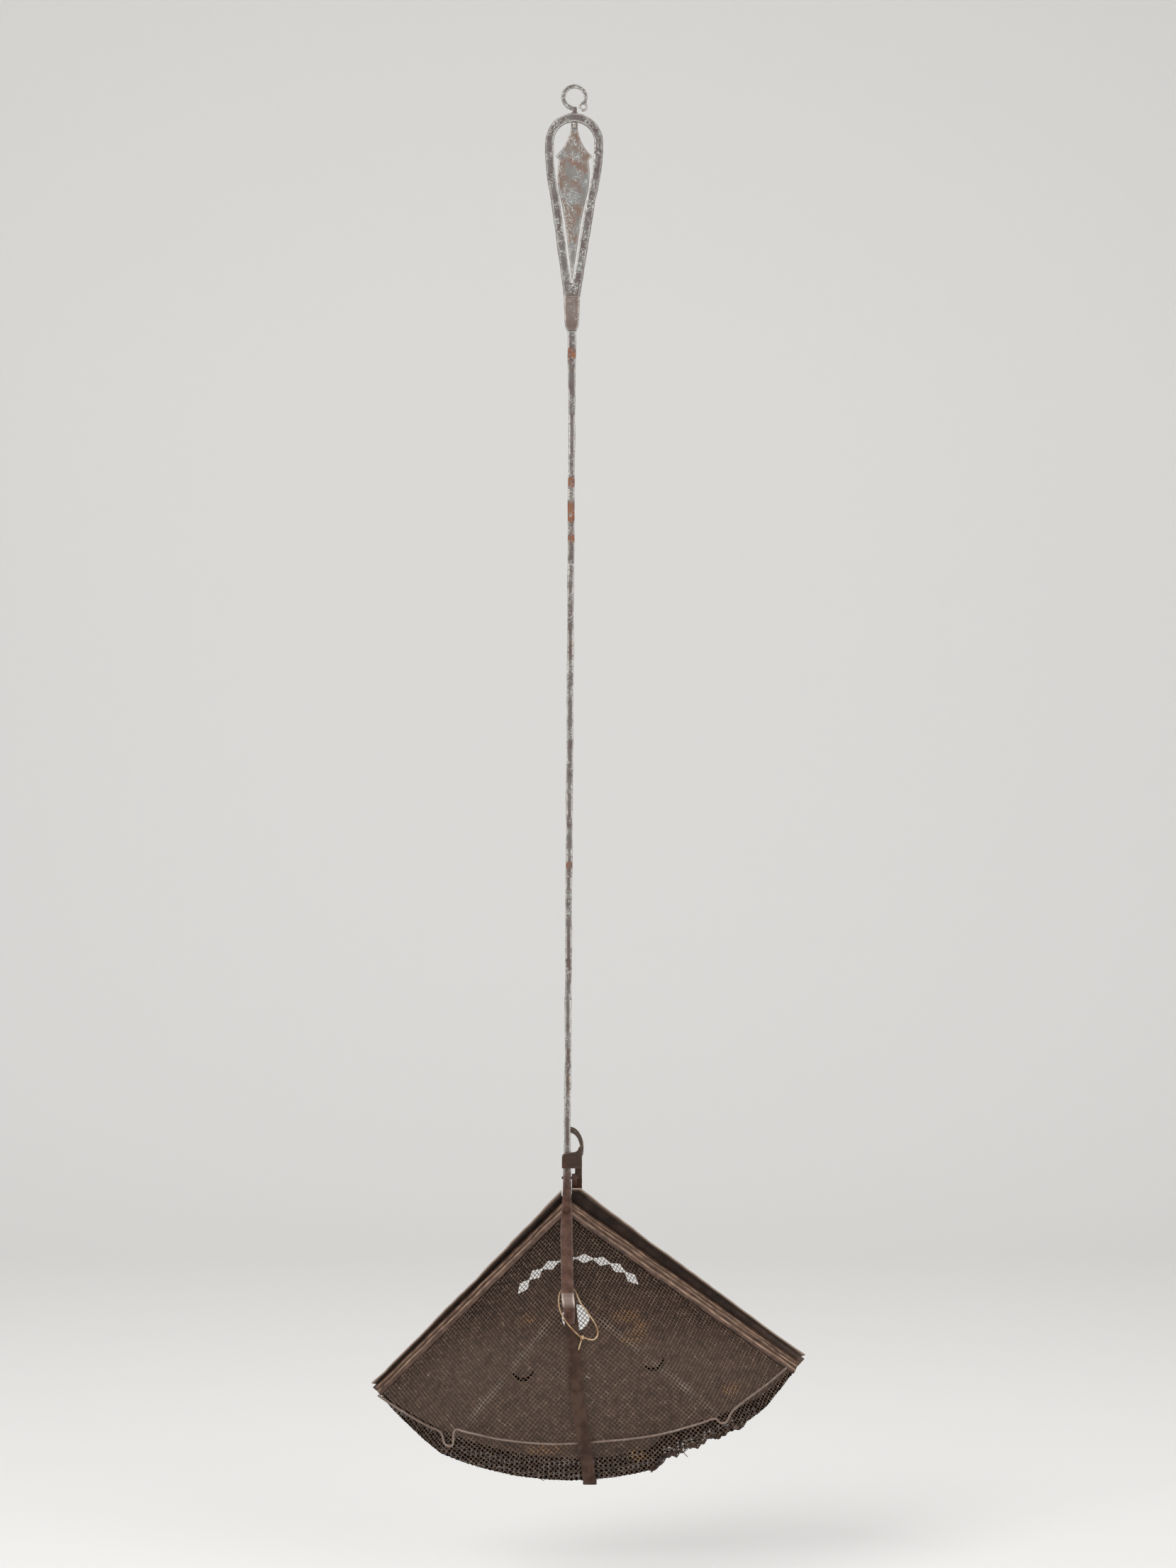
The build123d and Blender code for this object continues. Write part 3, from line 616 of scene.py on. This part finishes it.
def oxidised_wire():
    """Brown oxidised iron wire, with a painted glint on high spots, paler along the folds from
    rubbing and a painted glint, and with painted golden glints in patches.

    The mesh's shade says how far painted shade takes all of it towards near black.
    """
    material, tree, shader = new_material("oxidised_wire_cloth")
    place = add_node(tree, "ShaderNodeTexCoord").outputs["Object"]
    mottle = grain(tree, place, 260, 4.0, 0.7)
    ramp = two_tone(tree, mottle, 0.36, "#402f25", 0.64, "#846c5b")
    glint = ramp.color_ramp.elements.new(0.74)
    glint.color = linear("#d0bba6")
    # Paler along the folds: rubbing, and a painted glint on the creases.
    wear_and_painted_light = blend(tree, stored(tree, "rub"), ramp.outputs[0], linear("#b8a999"))
    # On the cloth the 'rust' numbers hold painted golden glints, broken up here into small spots.
    spotty = {"Value": grain(tree, place, 620, 3.0), "From Min": 0.48, "From Max": 0.56}
    rust_breaks = add_node(tree, "ShaderNodeMapRange", None, spotty).outputs["Result"]
    rust = maths(tree, "MULTIPLY", stored(tree, "rust"), rust_breaks)
    golden_glinted = blend(tree, maths(tree, "MULTIPLY", rust, 0.8), wear_and_painted_light, linear("#b98a58"))
    shade = stored(tree, "shade")
    surface = {
        # The toe wall and the broken wire ends are painted near black and lose their shine, as
        # painted shade.
        "Base Color": blend(tree, shade, golden_glinted, linear("#150e0b")),
        "Specular IOR Level": fade(tree, shade, 0.5, 0.0),
        "Metallic": fade(tree, shade, 0.3, 0.0),
        "Roughness": 0.45,
    }
    set_inputs(tree, shader, surface)
    return material


cloth_tree = wire_cloth_tree()
cloth_material = oxidised_wire()


def torn_in(x):
    """How far the battered right half of the toe's edge has been pushed in, in metres."""
    push = np.clip((x - torn_from) / 0.014, 0, 1) * np.clip((torn_to - x) / 0.04, 0, 1)
    return push * (0.0068 + 0.0012 * np.sin(x * 410) + 0.0008 * np.sin(x * 1270 + 1))


def in_toe(points):
    """True for the points that the toe's arc takes in, seen from the front."""
    away = np.hypot(points[:, 0] - toe_center.x, points[:, 2] - toe_center.z)
    return away < toe_radius - 0.0005 - torn_in(points[:, 0])


def golden_glint_on_cloth(spots):
    """How much painted golden glint points of the cloth carry, from where the camera sees them
    in the picture.
    """
    nearer = 1 + spots[:, 1] / camera_distance
    across = (spots[:, 0] / MM - view_middle_mm[0]) / nearer / mm_per_pixel + picture_middle_px[0]
    down = (view_middle_mm[1] - spots[:, 2] / MM) / nearer / mm_per_pixel + picture_middle_px[1]
    rust = np.zeros(len(spots))
    for x, y, wide, tall in golden_glint_spots:
        away = np.hypot((across - x) / wide, (down - y) / tall)
        rust = np.maximum(rust, np.clip((1.25 - away) * 2, 0, 1))
    return rust


def fold_wear_and_glint(spots):
    """How much rubbing and painted glint points of the cloth carry: patchily, along the folds
    between bend and corners.
    """
    rub = np.zeros(len(spots))
    for run in (corner_left - bend, corner_right - bend):
        away = np.linalg.norm(np.cross(spots - np.array(bend), np.array(run.normalized())), axis=1)
        along = (spots - np.array(bend)) @ np.array(run.normalized())
        patchy = 0.55 + 0.45 * np.sin(along * 190 + 0.6) * np.sin(along * 71)
        within_fold = np.clip((run.length - along) / 0.004, 0, 1)
        rub = np.maximum(rub, patchy * within_fold * np.clip(1 - away / 0.005, 0, 1))
    return rub


def weave(name, node, place, inside, reach, turn=0.0, shade=0.0):
    """Wire cloth over the part of a surface that a test takes in.

    place turns flat points, in metres, into points of the surface and its normals.
    reach is half the width of the flat area that is tried, and turn is how its wires slant.
    """
    rows = np.arange(-int(reach / cloth_pitch), int(reach / cloth_pitch) + 1) * cloth_pitch
    reach_along = np.arange(-reach, reach, cloth_pitch / 8)
    cosine, sine = math.cos(turn), math.sin(turn)

    def turned(flat):
        x, y = flat[:, 0], flat[:, 1]
        return np.stack([x * cosine - y * sine, x * sine + y * cosine], 1)

    ends, edges, sets = [], [], []
    for weave_set in (1.0, -1.0):
        for row in rows:
            line = np.stack([reach_along, np.full_like(reach_along, row)], 1)
            if weave_set < 0:
                line = line[:, ::-1]
            taken = inside(place(turned(line))[0], turned(line))
            changes = np.flatnonzero(np.diff(np.concatenate([[0], taken.astype(int), [0]])))
            for start, end in zip(changes[::2], changes[1::2]):
                if end - start > 5:
                    ends += [(*line[start], 0.0), (*line[end - 1], 0.0)]
                    edges.append((len(ends) - 2, len(ends) - 1))
                    sets += [weave_set, weave_set]
    lines = bpy.data.meshes.new(name)
    lines.from_pydata(ends, edges, [])
    store(lines, "weave_set", sets)
    piece = put_in_scene(name, lines)
    weaver = piece.modifiers.new("weaver", "NODES")
    weaver.node_group = cloth_tree
    values = {
        "Pitch": cloth_pitch,
        "Wire radius": cloth_wire,
        "Step": cloth_pitch / 3,
        "Unevenness": 0.0016,
        "Material": cloth_material,
    }
    for socket in cloth_tree.interface.items_tree:
        if socket.name in values:
            weaver[socket.identifier] = values[socket.name]
    solid = shown_mesh(piece)
    piece.modifiers.clear()
    piece.data = solid
    solid.name = name
    flat = points_of(solid)
    surface, normals = place(turned(flat[:, :2]))
    spots = surface + normals * flat[:, 2:3]
    solid.vertices.foreach_set("co", spots.ravel())
    # The cloth's 'rust' holds painted golden glints, its 'rub' rubbing and a painted glint along
    # the folds, and its 'shade' painted shade.
    store(solid, "rust", golden_glint_on_cloth(spots))
    store(solid, "rub", fold_wear_and_glint(spots))
    store(solid, "shade", np.full(len(spots), shade))
    solid.update()
    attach(piece, "handle")
    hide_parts(node)
    return piece


def folded_panel(origin, first, second, normal, folds):
    """Points and normals of one flat panel of the folded sheet, rounded off towards its folds.

    first and second are where the sheet's two sets of wires run on this panel. Each fold is a
    point, a direction and the width over which it is rounded, with the neighbour's normal.
    """
    soft = []
    for (point, run, width), other in folds:
        middle = np.array((normal + other).normalized())
        half_turn = math.sqrt(max(0.0, (1 - normal.dot(other)) / 2))
        soft.append((np.array(point), np.array(run.normalized()), middle, width, half_turn))

    def place(flat):
        spots = np.array(origin) + flat[:, :1] * np.array(first) + flat[:, 1:2] * np.array(second)
        up = np.tile(np.array(normal), (len(flat), 1))
        sunk = np.zeros((len(flat), 3))
        depth = np.zeros(len(flat))
        for point, run, middle, width, half_turn in soft:
            away = np.linalg.norm(np.cross(spots - point, run), axis=1)
            near = np.clip(1 - away / width, 0, 1)
            up += (middle - up) * near[:, None]
            amount = half_turn * width / 2 * near**2
            deeper = amount > depth
            depth[deeper] = amount[deeper]
            sunk[deeper] = middle * amount[deeper, None]
        x, z = spots[:, 0] / MM, spots[:, 2] / MM
        swell = np.sin(0.13 * x + 0.06 * z) * np.sin(0.11 * z - 0.05 * x + 1.0)
        swell += 0.5 * np.sin(0.31 * x - 0.27 * z)
        up /= np.linalg.norm(up, axis=1, keepdims=True)
        return spots - sunk - up * (0.0005 + 0.0005 * swell)[:, None], up

    return place


def within(corners, normal):
    """A test for points inside a polygon of a plane, whose corners go round it in order."""
    ring = [np.array(c) for c in corners]
    middle = sum(ring) / len(ring)
    sides = []
    for a, b in zip(ring, ring[1:] + ring[:1]):
        inward = np.cross(np.array(normal), b - a)
        if inward @ (middle - a) < 0:
            inward = -inward
        sides.append((a, inward))

    def test(points, flat):
        taken = in_toe(points)
        for a, inward in sides:
            taken &= (points - a) @ inward > 0
        return taken

    return test


def beyond_corner(corner, side_normal):
    """A point far along the fold between a side panel and the toe, past the toe's arc."""
    run = side_normal.cross(toe_normal).normalized()
    return corner + run * (-0.09 if run.z > 0 else 0.09)


def across_fold(side_normal, fold, edge):
    """The direction on a side panel square to its fold, away from the panel's outer edge."""
    run = side_normal.cross(fold).normalized()
    return run if run.dot(edge - bend) < 0 else -run


far_fold_left = beyond_corner(corner_left, left_normal)
far_fold_right = beyond_corner(corner_right, right_normal)
far_left = on(apex, left_normal, -150.0, -972.0)
far_right = on(apex, right_normal, 167.0, -950.0)
fold_left = (corner_left - bend).normalized()
fold_right = (corner_right - bend).normalized()
fold_toe = (corner_right - corner_left).normalized()
into_left = across_fold(left_normal, fold_left, edge_left)
into_right = across_fold(right_normal, fold_right, edge_right)
toe_turn = floor_normal.rotation_difference(toe_normal)
left_fold = (bend, fold_left, 0.012)
right_fold = (bend, fold_right, 0.012)
top_fold = (bend, apex - bend, 0.008)
toe_fold = (corner_left, fold_toe, 0.003)
weave(
    "cloth_left",
    "mesh_left",
    folded_panel(
        bend,
        fold_left,
        into_left,
        left_normal,
        ((left_fold, floor_normal), (top_fold, right_normal)),
    ),
    within([apex, edge_left, far_left, far_fold_left, corner_left, bend], left_normal),
    0.2,
)
weave(
    "cloth_right",
    "mesh_right",
    folded_panel(
        bend,
        into_right,
        fold_right,
        right_normal,
        ((right_fold, floor_normal), (top_fold, left_normal)),
    ),
    within([apex, edge_right, far_right, far_fold_right, corner_right, bend], right_normal),
    0.22,
)
weave(
    "cloth_floor",
    "mesh_floor",
    folded_panel(
        bend,
        fold_left,
        fold_right,
        floor_normal,
        ((left_fold, left_normal), (right_fold, right_normal), (toe_fold, toe_normal)),
    ),
    within([bend, corner_left, corner_right], floor_normal),
    0.2,
)
weave(
    "cloth_toe",
    "mesh_toe",
    folded_panel(
        corner_left + toe_turn @ (bend - corner_left),
        toe_turn @ fold_left,
        toe_turn @ fold_right,
        toe_normal,
        ((toe_fold, floor_normal),),
    ),
    within([corner_left, far_fold_left, far_fold_right, corner_right], toe_normal),
    0.3,
)

# Toe wall: the same cloth turned back along the toe's arc and brought down to the lid.
# Its wires run slantwise round the arc, and where it is torn their broken ends stand out.
end_margin = math.radians(1)
first_bearing = math.atan2(-0.9389 - toe_center.z, -0.1455 - toe_center.x) + end_margin
last_bearing = math.atan2(-0.9209 - toe_center.z, 0.1633 - toe_center.x) - end_margin
mid_bearing = (first_bearing + last_bearing) / 2
broken_wires, broken_length = 360, 0.066
loose_strands = (
    ((735, 2033), (755, 2072), (768, 2079)),
    ((959, 2031), (964, 2043), (969, 2045)),
    ((922, 2062), (928, 2057), (935, 2053)),
)


def toe_wall(flat):
    """Points and outward normals of the toe wall, from the length round it and the depth behind."""
    bearing = mid_bearing + flat[:, 0] / toe_radius
    outward = np.stack([np.cos(bearing), np.zeros(len(flat)), np.sin(bearing)], 1)
    spots = outward * (toe_radius - 0.0008) + np.array(toe_center)
    crumple = torn_in(spots[:, 0])
    fold = 0.5 + 0.5 * np.sin(flat[:, 0] * 420 + 2.5 * np.sin(flat[:, 1] * 260))
    spots -= outward * (crumple * (0.93 + 0.07 * fold))[:, None]
    spots[:, 1] = flat[:, 1]
    return spots, outward


def in_toe_wall(points, flat):
    """True between the outside of the basket and a line just in front of the lid."""
    bearing = mid_bearing + flat[:, 0] / toe_radius
    taken = (bearing > first_bearing) & (bearing < last_bearing)
    taken &= (points - np.array(apex)) @ np.array(mouth_normal) > -0.002
    for origin, normal in panels:
        taken &= (points - np.array(origin)) @ np.array(normal) < 0.0002
    return taken


def broken_wire(k):
    """Three points of one broken wire, numbered along the torn edge, that leans in and curls."""
    uneven = 0.8 * noise.noise(Vector((k * 3.7, 0, 0)))
    x = torn_from + broken_length * (k + uneven) / broken_wires
    far = toe_radius - float(torn_in(np.array(x))) + 0.0004
    depth = on(corner_left, toe_normal, x / MM, -960.0).y + 0.0008
    start = Vector((x, depth, toe_center.z - math.sqrt(far**2 - (x - toe_center.x) ** 2)))
    drift = noise.noise_vector(Vector((k * 1.3, 5, 0)))
    curl = noise.noise_vector(Vector((k * 2.1, 9, 4)))
    inward = Vector((-0.3, 0, 1)) * 0.0016
    middle = start + Vector((drift.x * 0.003, abs(drift.y) * 0.004, drift.z * 0.0016)) + inward
    return start, middle, middle + Vector((curl.x * 0.004, abs(curl.y) * 0.005, curl.z * 0.0022))


def frayed_ends(piece):
    """Broken wires and loose strands along the toe's edge, joined to the hem's own wires."""
    data = bpy.data.curves.new("frayed_ends", "CURVE")
    data.dimensions = "3D"
    data.bevel_depth = cloth_wire
    data.bevel_resolution = 0
    noise.seed_set(4)  # without it, noise_vector differs from run to run
    routes = [broken_wire(k) for k in range(broken_wires)]
    for spots in loose_strands:
        routes.append([at(*from_picture(x, y), 26.0) for x, y in spots])
    for route in routes:
        spline = data.splines.new("NURBS")
        spline.points.add(2)
        for point, spot in zip(spline.points, route):
            point.co = (*spot, 1)
        spline.order_u = 3
        spline.use_endpoint_u = True
        spline.resolution_u = 3
    strands = put_in_scene("frayed_ends", data)
    loose = shown_mesh(strands)
    bpy.data.objects.remove(strands)
    shape = bmesh.new()
    shape.from_mesh(piece.data)
    count = len(shape.verts)
    shape.from_mesh(loose)
    shape.verts.ensure_lookup_table()
    shade = shape.verts.layers.float["shade"]
    # The broken ends are painted half way to near black, as painted shade.
    for vert in shape.verts[count:]:
        vert[shade] = 0.55
    for face in shape.faces:
        face.material_index = 0
        face.smooth = True
    shape.to_mesh(piece.data)
    shape.free()


# The toe wall, seen behind the cloth, is painted near black as shade.
frayed_ends(weave("cloth_hem", "mesh_hem", toe_wall, in_toe_wall, 0.24, math.radians(45), 1.0))

# Edge bindings: a strip of thin sheet iron folded over each side edge of the cloth.
# It was dressed down with a hammer, so lengthwise creases run along its face under a tan film.


def dressed_sheet(name, film, dark, crease):
    """Thin sheet iron under a dry, cloudy film.

    The mesh's own numbers say where it is creased or worn to a third colour, which on the lid
    also stands for painted highlights and painted light, and where painted shade darkens it and
    takes its shine.
    """
    material, tree, shader = new_material(name)
    place = add_node(tree, "ShaderNodeTexCoord").outputs["Object"]
    ramp = two_tone(tree, grain(tree, place, 130, 5.0, 0.65), 0.36, dark, 0.62, film)
    creased = blend(tree, stored(tree, "crease"), ramp.outputs[0], linear(crease))
    painted_shade = stored(tree, "painted_shade")
    surface = {
        # Painted shade takes the surface towards near black.
        "Base Color": blend(tree, painted_shade, creased, linear("#060403")),
        "Normal": bumped(tree, grain(tree, place, 700, 4.0), 0.0003, 0.5),
        "Specular IOR Level": fade(tree, painted_shade, 0.5, 0.0),
        "Metallic": fade(tree, painted_shade, 0.35, 0.0),
        "Roughness": 0.55,
    }
    set_inputs(tree, shader, surface)
    return material


def creases(ridges, width, across, far, seed):
    """The height in millimetres and the paleness of the creases at one point of a strip."""
    lift, mark = 0.0, 0.0
    for ridge in ridges:
        path = ridge * width + 0.7 * noise.noise(Vector((far * 9 + ridge * 7, seed, 0)))
        near = max(0.0, 1 - abs(across - path) / 0.9)
        lift += 0.35 * near
        broken = noise.noise(Vector((far * 40 + ridge * 31, seed, across * 0.3)))
        mark += near * (0.75 + 0.9 * broken)
    return lift, clamped(mark)


def binding(name, node, end, normal, width, ridges, seed):
    """A folded strip along one side edge, its front face creased lengthwise and a little wavy."""
    side = 1 if end.x > apex.x else -1
    inward = normal.cross(end - apex).normalized()
    if inward.dot(bend - apex) < 0:
        inward = -inward
    run = (end - apex).normalized()
    length = (end - apex).length - 0.002
    steps = 14
    profile = []
    for k in range(steps + 1):
        share = k / steps
        up = 0.55 + 1.2 * (1 - share**4) + (0.25 if k else -0.6)
        profile.append((-1.1 + (width + 1.1) * share, up))
    profile += [(width, 0.35), (-0.4, 0.35), (-0.4, -0.55)]
    profile += [(width - 1.5, -0.55), (width - 1.5, -1.3), (-1.0, -1.3)]
    ring = len(profile)
    rows = int(length / 0.0015)
    spots, faces, crease = [], [], []
    for i in range(rows + 1):
        far = i / rows
        for k, (across, up) in enumerate(profile):
            wavy = noise.noise(Vector((far * 26 + seed, across * 0.12, 0)))
            lift, mark = 0.0, 0.0
            if 0 < k <= steps:
                lift, mark = creases(ridges, width, across, far, seed)
                lift += 0.22 * wavy
            edge = 0.35 * wavy if k in (steps, steps + 1) else 0.0
            out = inward * (across + edge) * MM + normal * (up + lift) * MM
            spot = apex + run * (far * length) + out
            spot.x = apex.x + side * max(0.25 * MM, side * (spot.x - apex.x))
            spots.append(spot)
            crease.append(mark)
    for i in range(rows):
        for k in range(ring):
            a, b = i * ring + k, i * ring + (k + 1) % ring
            faces.append((a, b, b + ring, a + ring))
    faces.append(tuple(range(ring - 1, -1, -1)))
    faces.append(tuple(range(rows * ring, rows * ring + ring)))
    mesh = bpy.data.meshes.new(name)
    mesh.from_pydata(spots, [], faces)
    store(mesh, "crease", crease)
    shape = bmesh.new()
    shape.from_mesh(mesh)
    bmesh.ops.recalc_face_normals(shape, faces=shape.faces)
    shape.to_mesh(mesh)
    shape.free()
    mesh.shade_smooth()
    mesh.materials.append(binding_material)
    piece = put_in_scene(name, mesh)
    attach(piece, "handle")
    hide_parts(node)


binding_material = dressed_sheet("folded_sheet_iron", "#5c4437", "#36251c", "#b0927b")
left_ridges, right_ridges = (0.22, 0.6), (0.18, 0.42, 0.74)
binding("folded_edge_left", "binding_left", edge_left, left_normal, 9.0, left_ridges, 3.0)
binding("folded_edge_right", "binding_right", edge_right, right_normal, 11.5, right_ridges, 8.0)

# Rim wire, strap and rivets: the wire binds the fold over the toe, and the strap holds it all
# to the handle. They are forged iron under a brown, fire-darkened film.
wire_radius = 0.00085
wire_height = 1.75
wire_route = [
    (-141.5, -942.9),
    (-122.2, -950.7),
    (-101.2, -957.3),
    (-96.2, -957.6),
    (-92.6, -959.6),
    (-91.2, -966.4),
    (-85.6, -966.4),
    (-84.9, -958.4),
    (-83.0, -954.8),
    (-79.0, -955.4),
    (-69.1, -957.6),
    (-53.5, -961.6),
    (-18.0, -965.6),
    (12.2, -964.1),
    (53.9, -960.8),
    (88.6, -951.4),
    (100.2, -946.9),
    (102.6, -951.4),
    (107.6, -951.0),
    (109.8, -945.6),
    (118.0, -940.6),
    (131.0, -934.6),
    (146.0, -926.6),
    (152.5, -922.4),
]


def over_skin(x, z, height):
    """A point, as x, z and the distance out in millimetres, at a height over the basket's skin."""
    found = ((on(origin, normal, x, z), normal) for origin, normal in panels)
    spot, normal = max(found, key=lambda pair: pair[0].y)
    spot = spot + normal * height * MM
    return (spot.x / MM, spot.z / MM, -spot.y / MM)


strap_iron = forged_iron(
    "fire_darkened_strap",
    "#38261f",
    "#453129",
    "#5e4c42",
    "#7d6c60",
    0.3,
    "#5e3a26",
    ("#3a2b24", "#4f3d33"),
)
dark_iron = forged_iron(
    "fire_darkened_rivet",
    "#2c201a",
    "#382b24",
    "#544840",
    "#80705f",
    0.3,
    "#6b3d24",
    ("#3d2921", "#523a2e"),
)
wire_iron = forged_iron("rim_wire_iron", "#78655a", "#84746a", "#a09488", "#a89b8f", 0.4, "#74492f")
hammered("lower_strap", 0.0005, 0.0002, 0.010, strap_iron)
wire_points = [over_skin(x, z, wire_height) for x, z in wire_route]
wire_curve = string_curve("rim_wire_curve", wire_points, wire_radius)
round_wire = string_form("rim_wire_round", wire_curve, wire_iron)
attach(round_wire, "handle")
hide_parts("rim_wire")
hammered("apex_rivet", 0.0002, 0.0001, 0.003, dark_iron)
hammered("lap_rivet", 0.0002, 0.0001, 0.003, dark_iron)
hammered("toe_rivet", 0.0002, 0.0001, 0.003, dark_iron)
hammered("hinge_pin", 0.0002, 0.00005, 0.003, dark_iron)

# Lid: a fan of thin sheet iron behind the basket, its lips turned up round the bindings and its
# face pierced. Smoke and fat have left it nearly black-brown inside, with bare metal only on
# the edges of its lips, which also carry a painted highlight. Its face carries painted shade,
# darker towards the top and near black in the scoops, and painted light towards the toe.
# Its third colour is for the rubbed lip edges with their painted highlight, and for the painted
# light on the face.
lid_material = dressed_sheet("smoked_sheet_iron", "#4d382d", "#2c1f19", "#9a887a")
face_behind_mouth = 2.8
scoop_floor, face_top, lip_edge = -0.9, 0.3, 6.0
# Heights, in metres, where the face's painted shade fades out and its painted light starts.
painted_shade_fades, painted_light_starts = -0.895, -0.89


def beaten_lid():
    """The CAD lid with its lips beaten a little wavy and their edges rubbed bare, with a painted
    highlight.

    Its face has painted shade towards the top and painted light towards the toe, and its scoops
    are painted near black as shade.
    Heights are in millimetres from its face towards the basket.
    """
    shape = bmesh.new()
    shape.from_mesh(frame["nodes"]["lid_pan"].data)
    bmesh.ops.remove_doubles(shape, verts=shape.verts, dist=1e-6)
    runs = [((end - apex).normalized(), (end - apex).length) for end in (edge_left, edge_right)]
    cuts = 64
    for run, length in runs:
        for k in range(1, cuts):
            whole = [*shape.verts, *shape.edges, *shape.faces]
            spot = apex + run * (length * k / cuts)
            bmesh.ops.bisect_plane(shape, geom=whole, plane_co=spot, plane_no=run)
    shape.verts.layers.float.new("crease")
    shape.verts.layers.float.new("painted_shade")
    wear_and_painted_light = shape.verts.layers.float["crease"]
    painted_shade_layer = shape.verts.layers.float["painted_shade"]
    for vert in shape.verts:
        height = (vert.co - apex).dot(mouth_normal) / MM + face_behind_mouth
        if height < face_top:
            if height < scoop_floor:
                # The scoops are painted near black as shade.
                vert[painted_shade_layer] = 1.0
            else:
                # Painted shade on the face, growing towards the top.
                vert[painted_shade_layer] = 0.55 * clamped((vert.co.z - painted_shade_fades) / 0.04)
                # Painted light on the face, growing towards the toe.
                vert[wear_and_painted_light] = 0.14 * clamped((painted_light_starts - vert.co.z) / 0.02)
            continue
        run, length = runs[0] if vert.co.x < apex.x else runs[1]
        far = (vert.co - apex).dot(run)
        held = min(1.0, max(0.0, far - 0.012) / 0.02, max(0.0, length - 0.004 - far) / 0.012)
        side = mouth_normal.cross(run).normalized()
        side *= 1 if side.dot(bend - apex) > 0 else -1
        wave = noise.noise(Vector((far * 38, vert.co.x > apex.x, 0)))
        wave += 0.5 * noise.noise(Vector((far * 110, 3, 0)))
        grown = min(1.0, height / lip_edge) ** 1.5 * held
        vert.co += side * (0.9 + 1.1 * wave) * MM * grown
        vert.co -= mouth_normal * (0.35 + 0.5 * wave) * MM * grown
        # Lip edges: rubbed bare and given a painted highlight; the rest of the lips a little paler.
        vert[wear_and_painted_light] = 1.0 if height > lip_edge else 0.3
    mesh = bpy.data.meshes.new("beaten_lid")
    shape.to_mesh(mesh)
    shape.free()
    mesh.materials.append(lid_material)
    piece = put_in_scene("beaten_lid", mesh)
    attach(piece, "lid")
    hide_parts("lid_pan")


beaten_lid()
hammered("lid_arm", 0.0003, 0.0001, 0.006, dark_iron)
hammered("thumb_lever", 0.0002, 0.0001, 0.004, dark_iron, fatter=0.0007)
hammered("arm_rivets", 0.0002, 0.0001, 0.003, dark_iron)
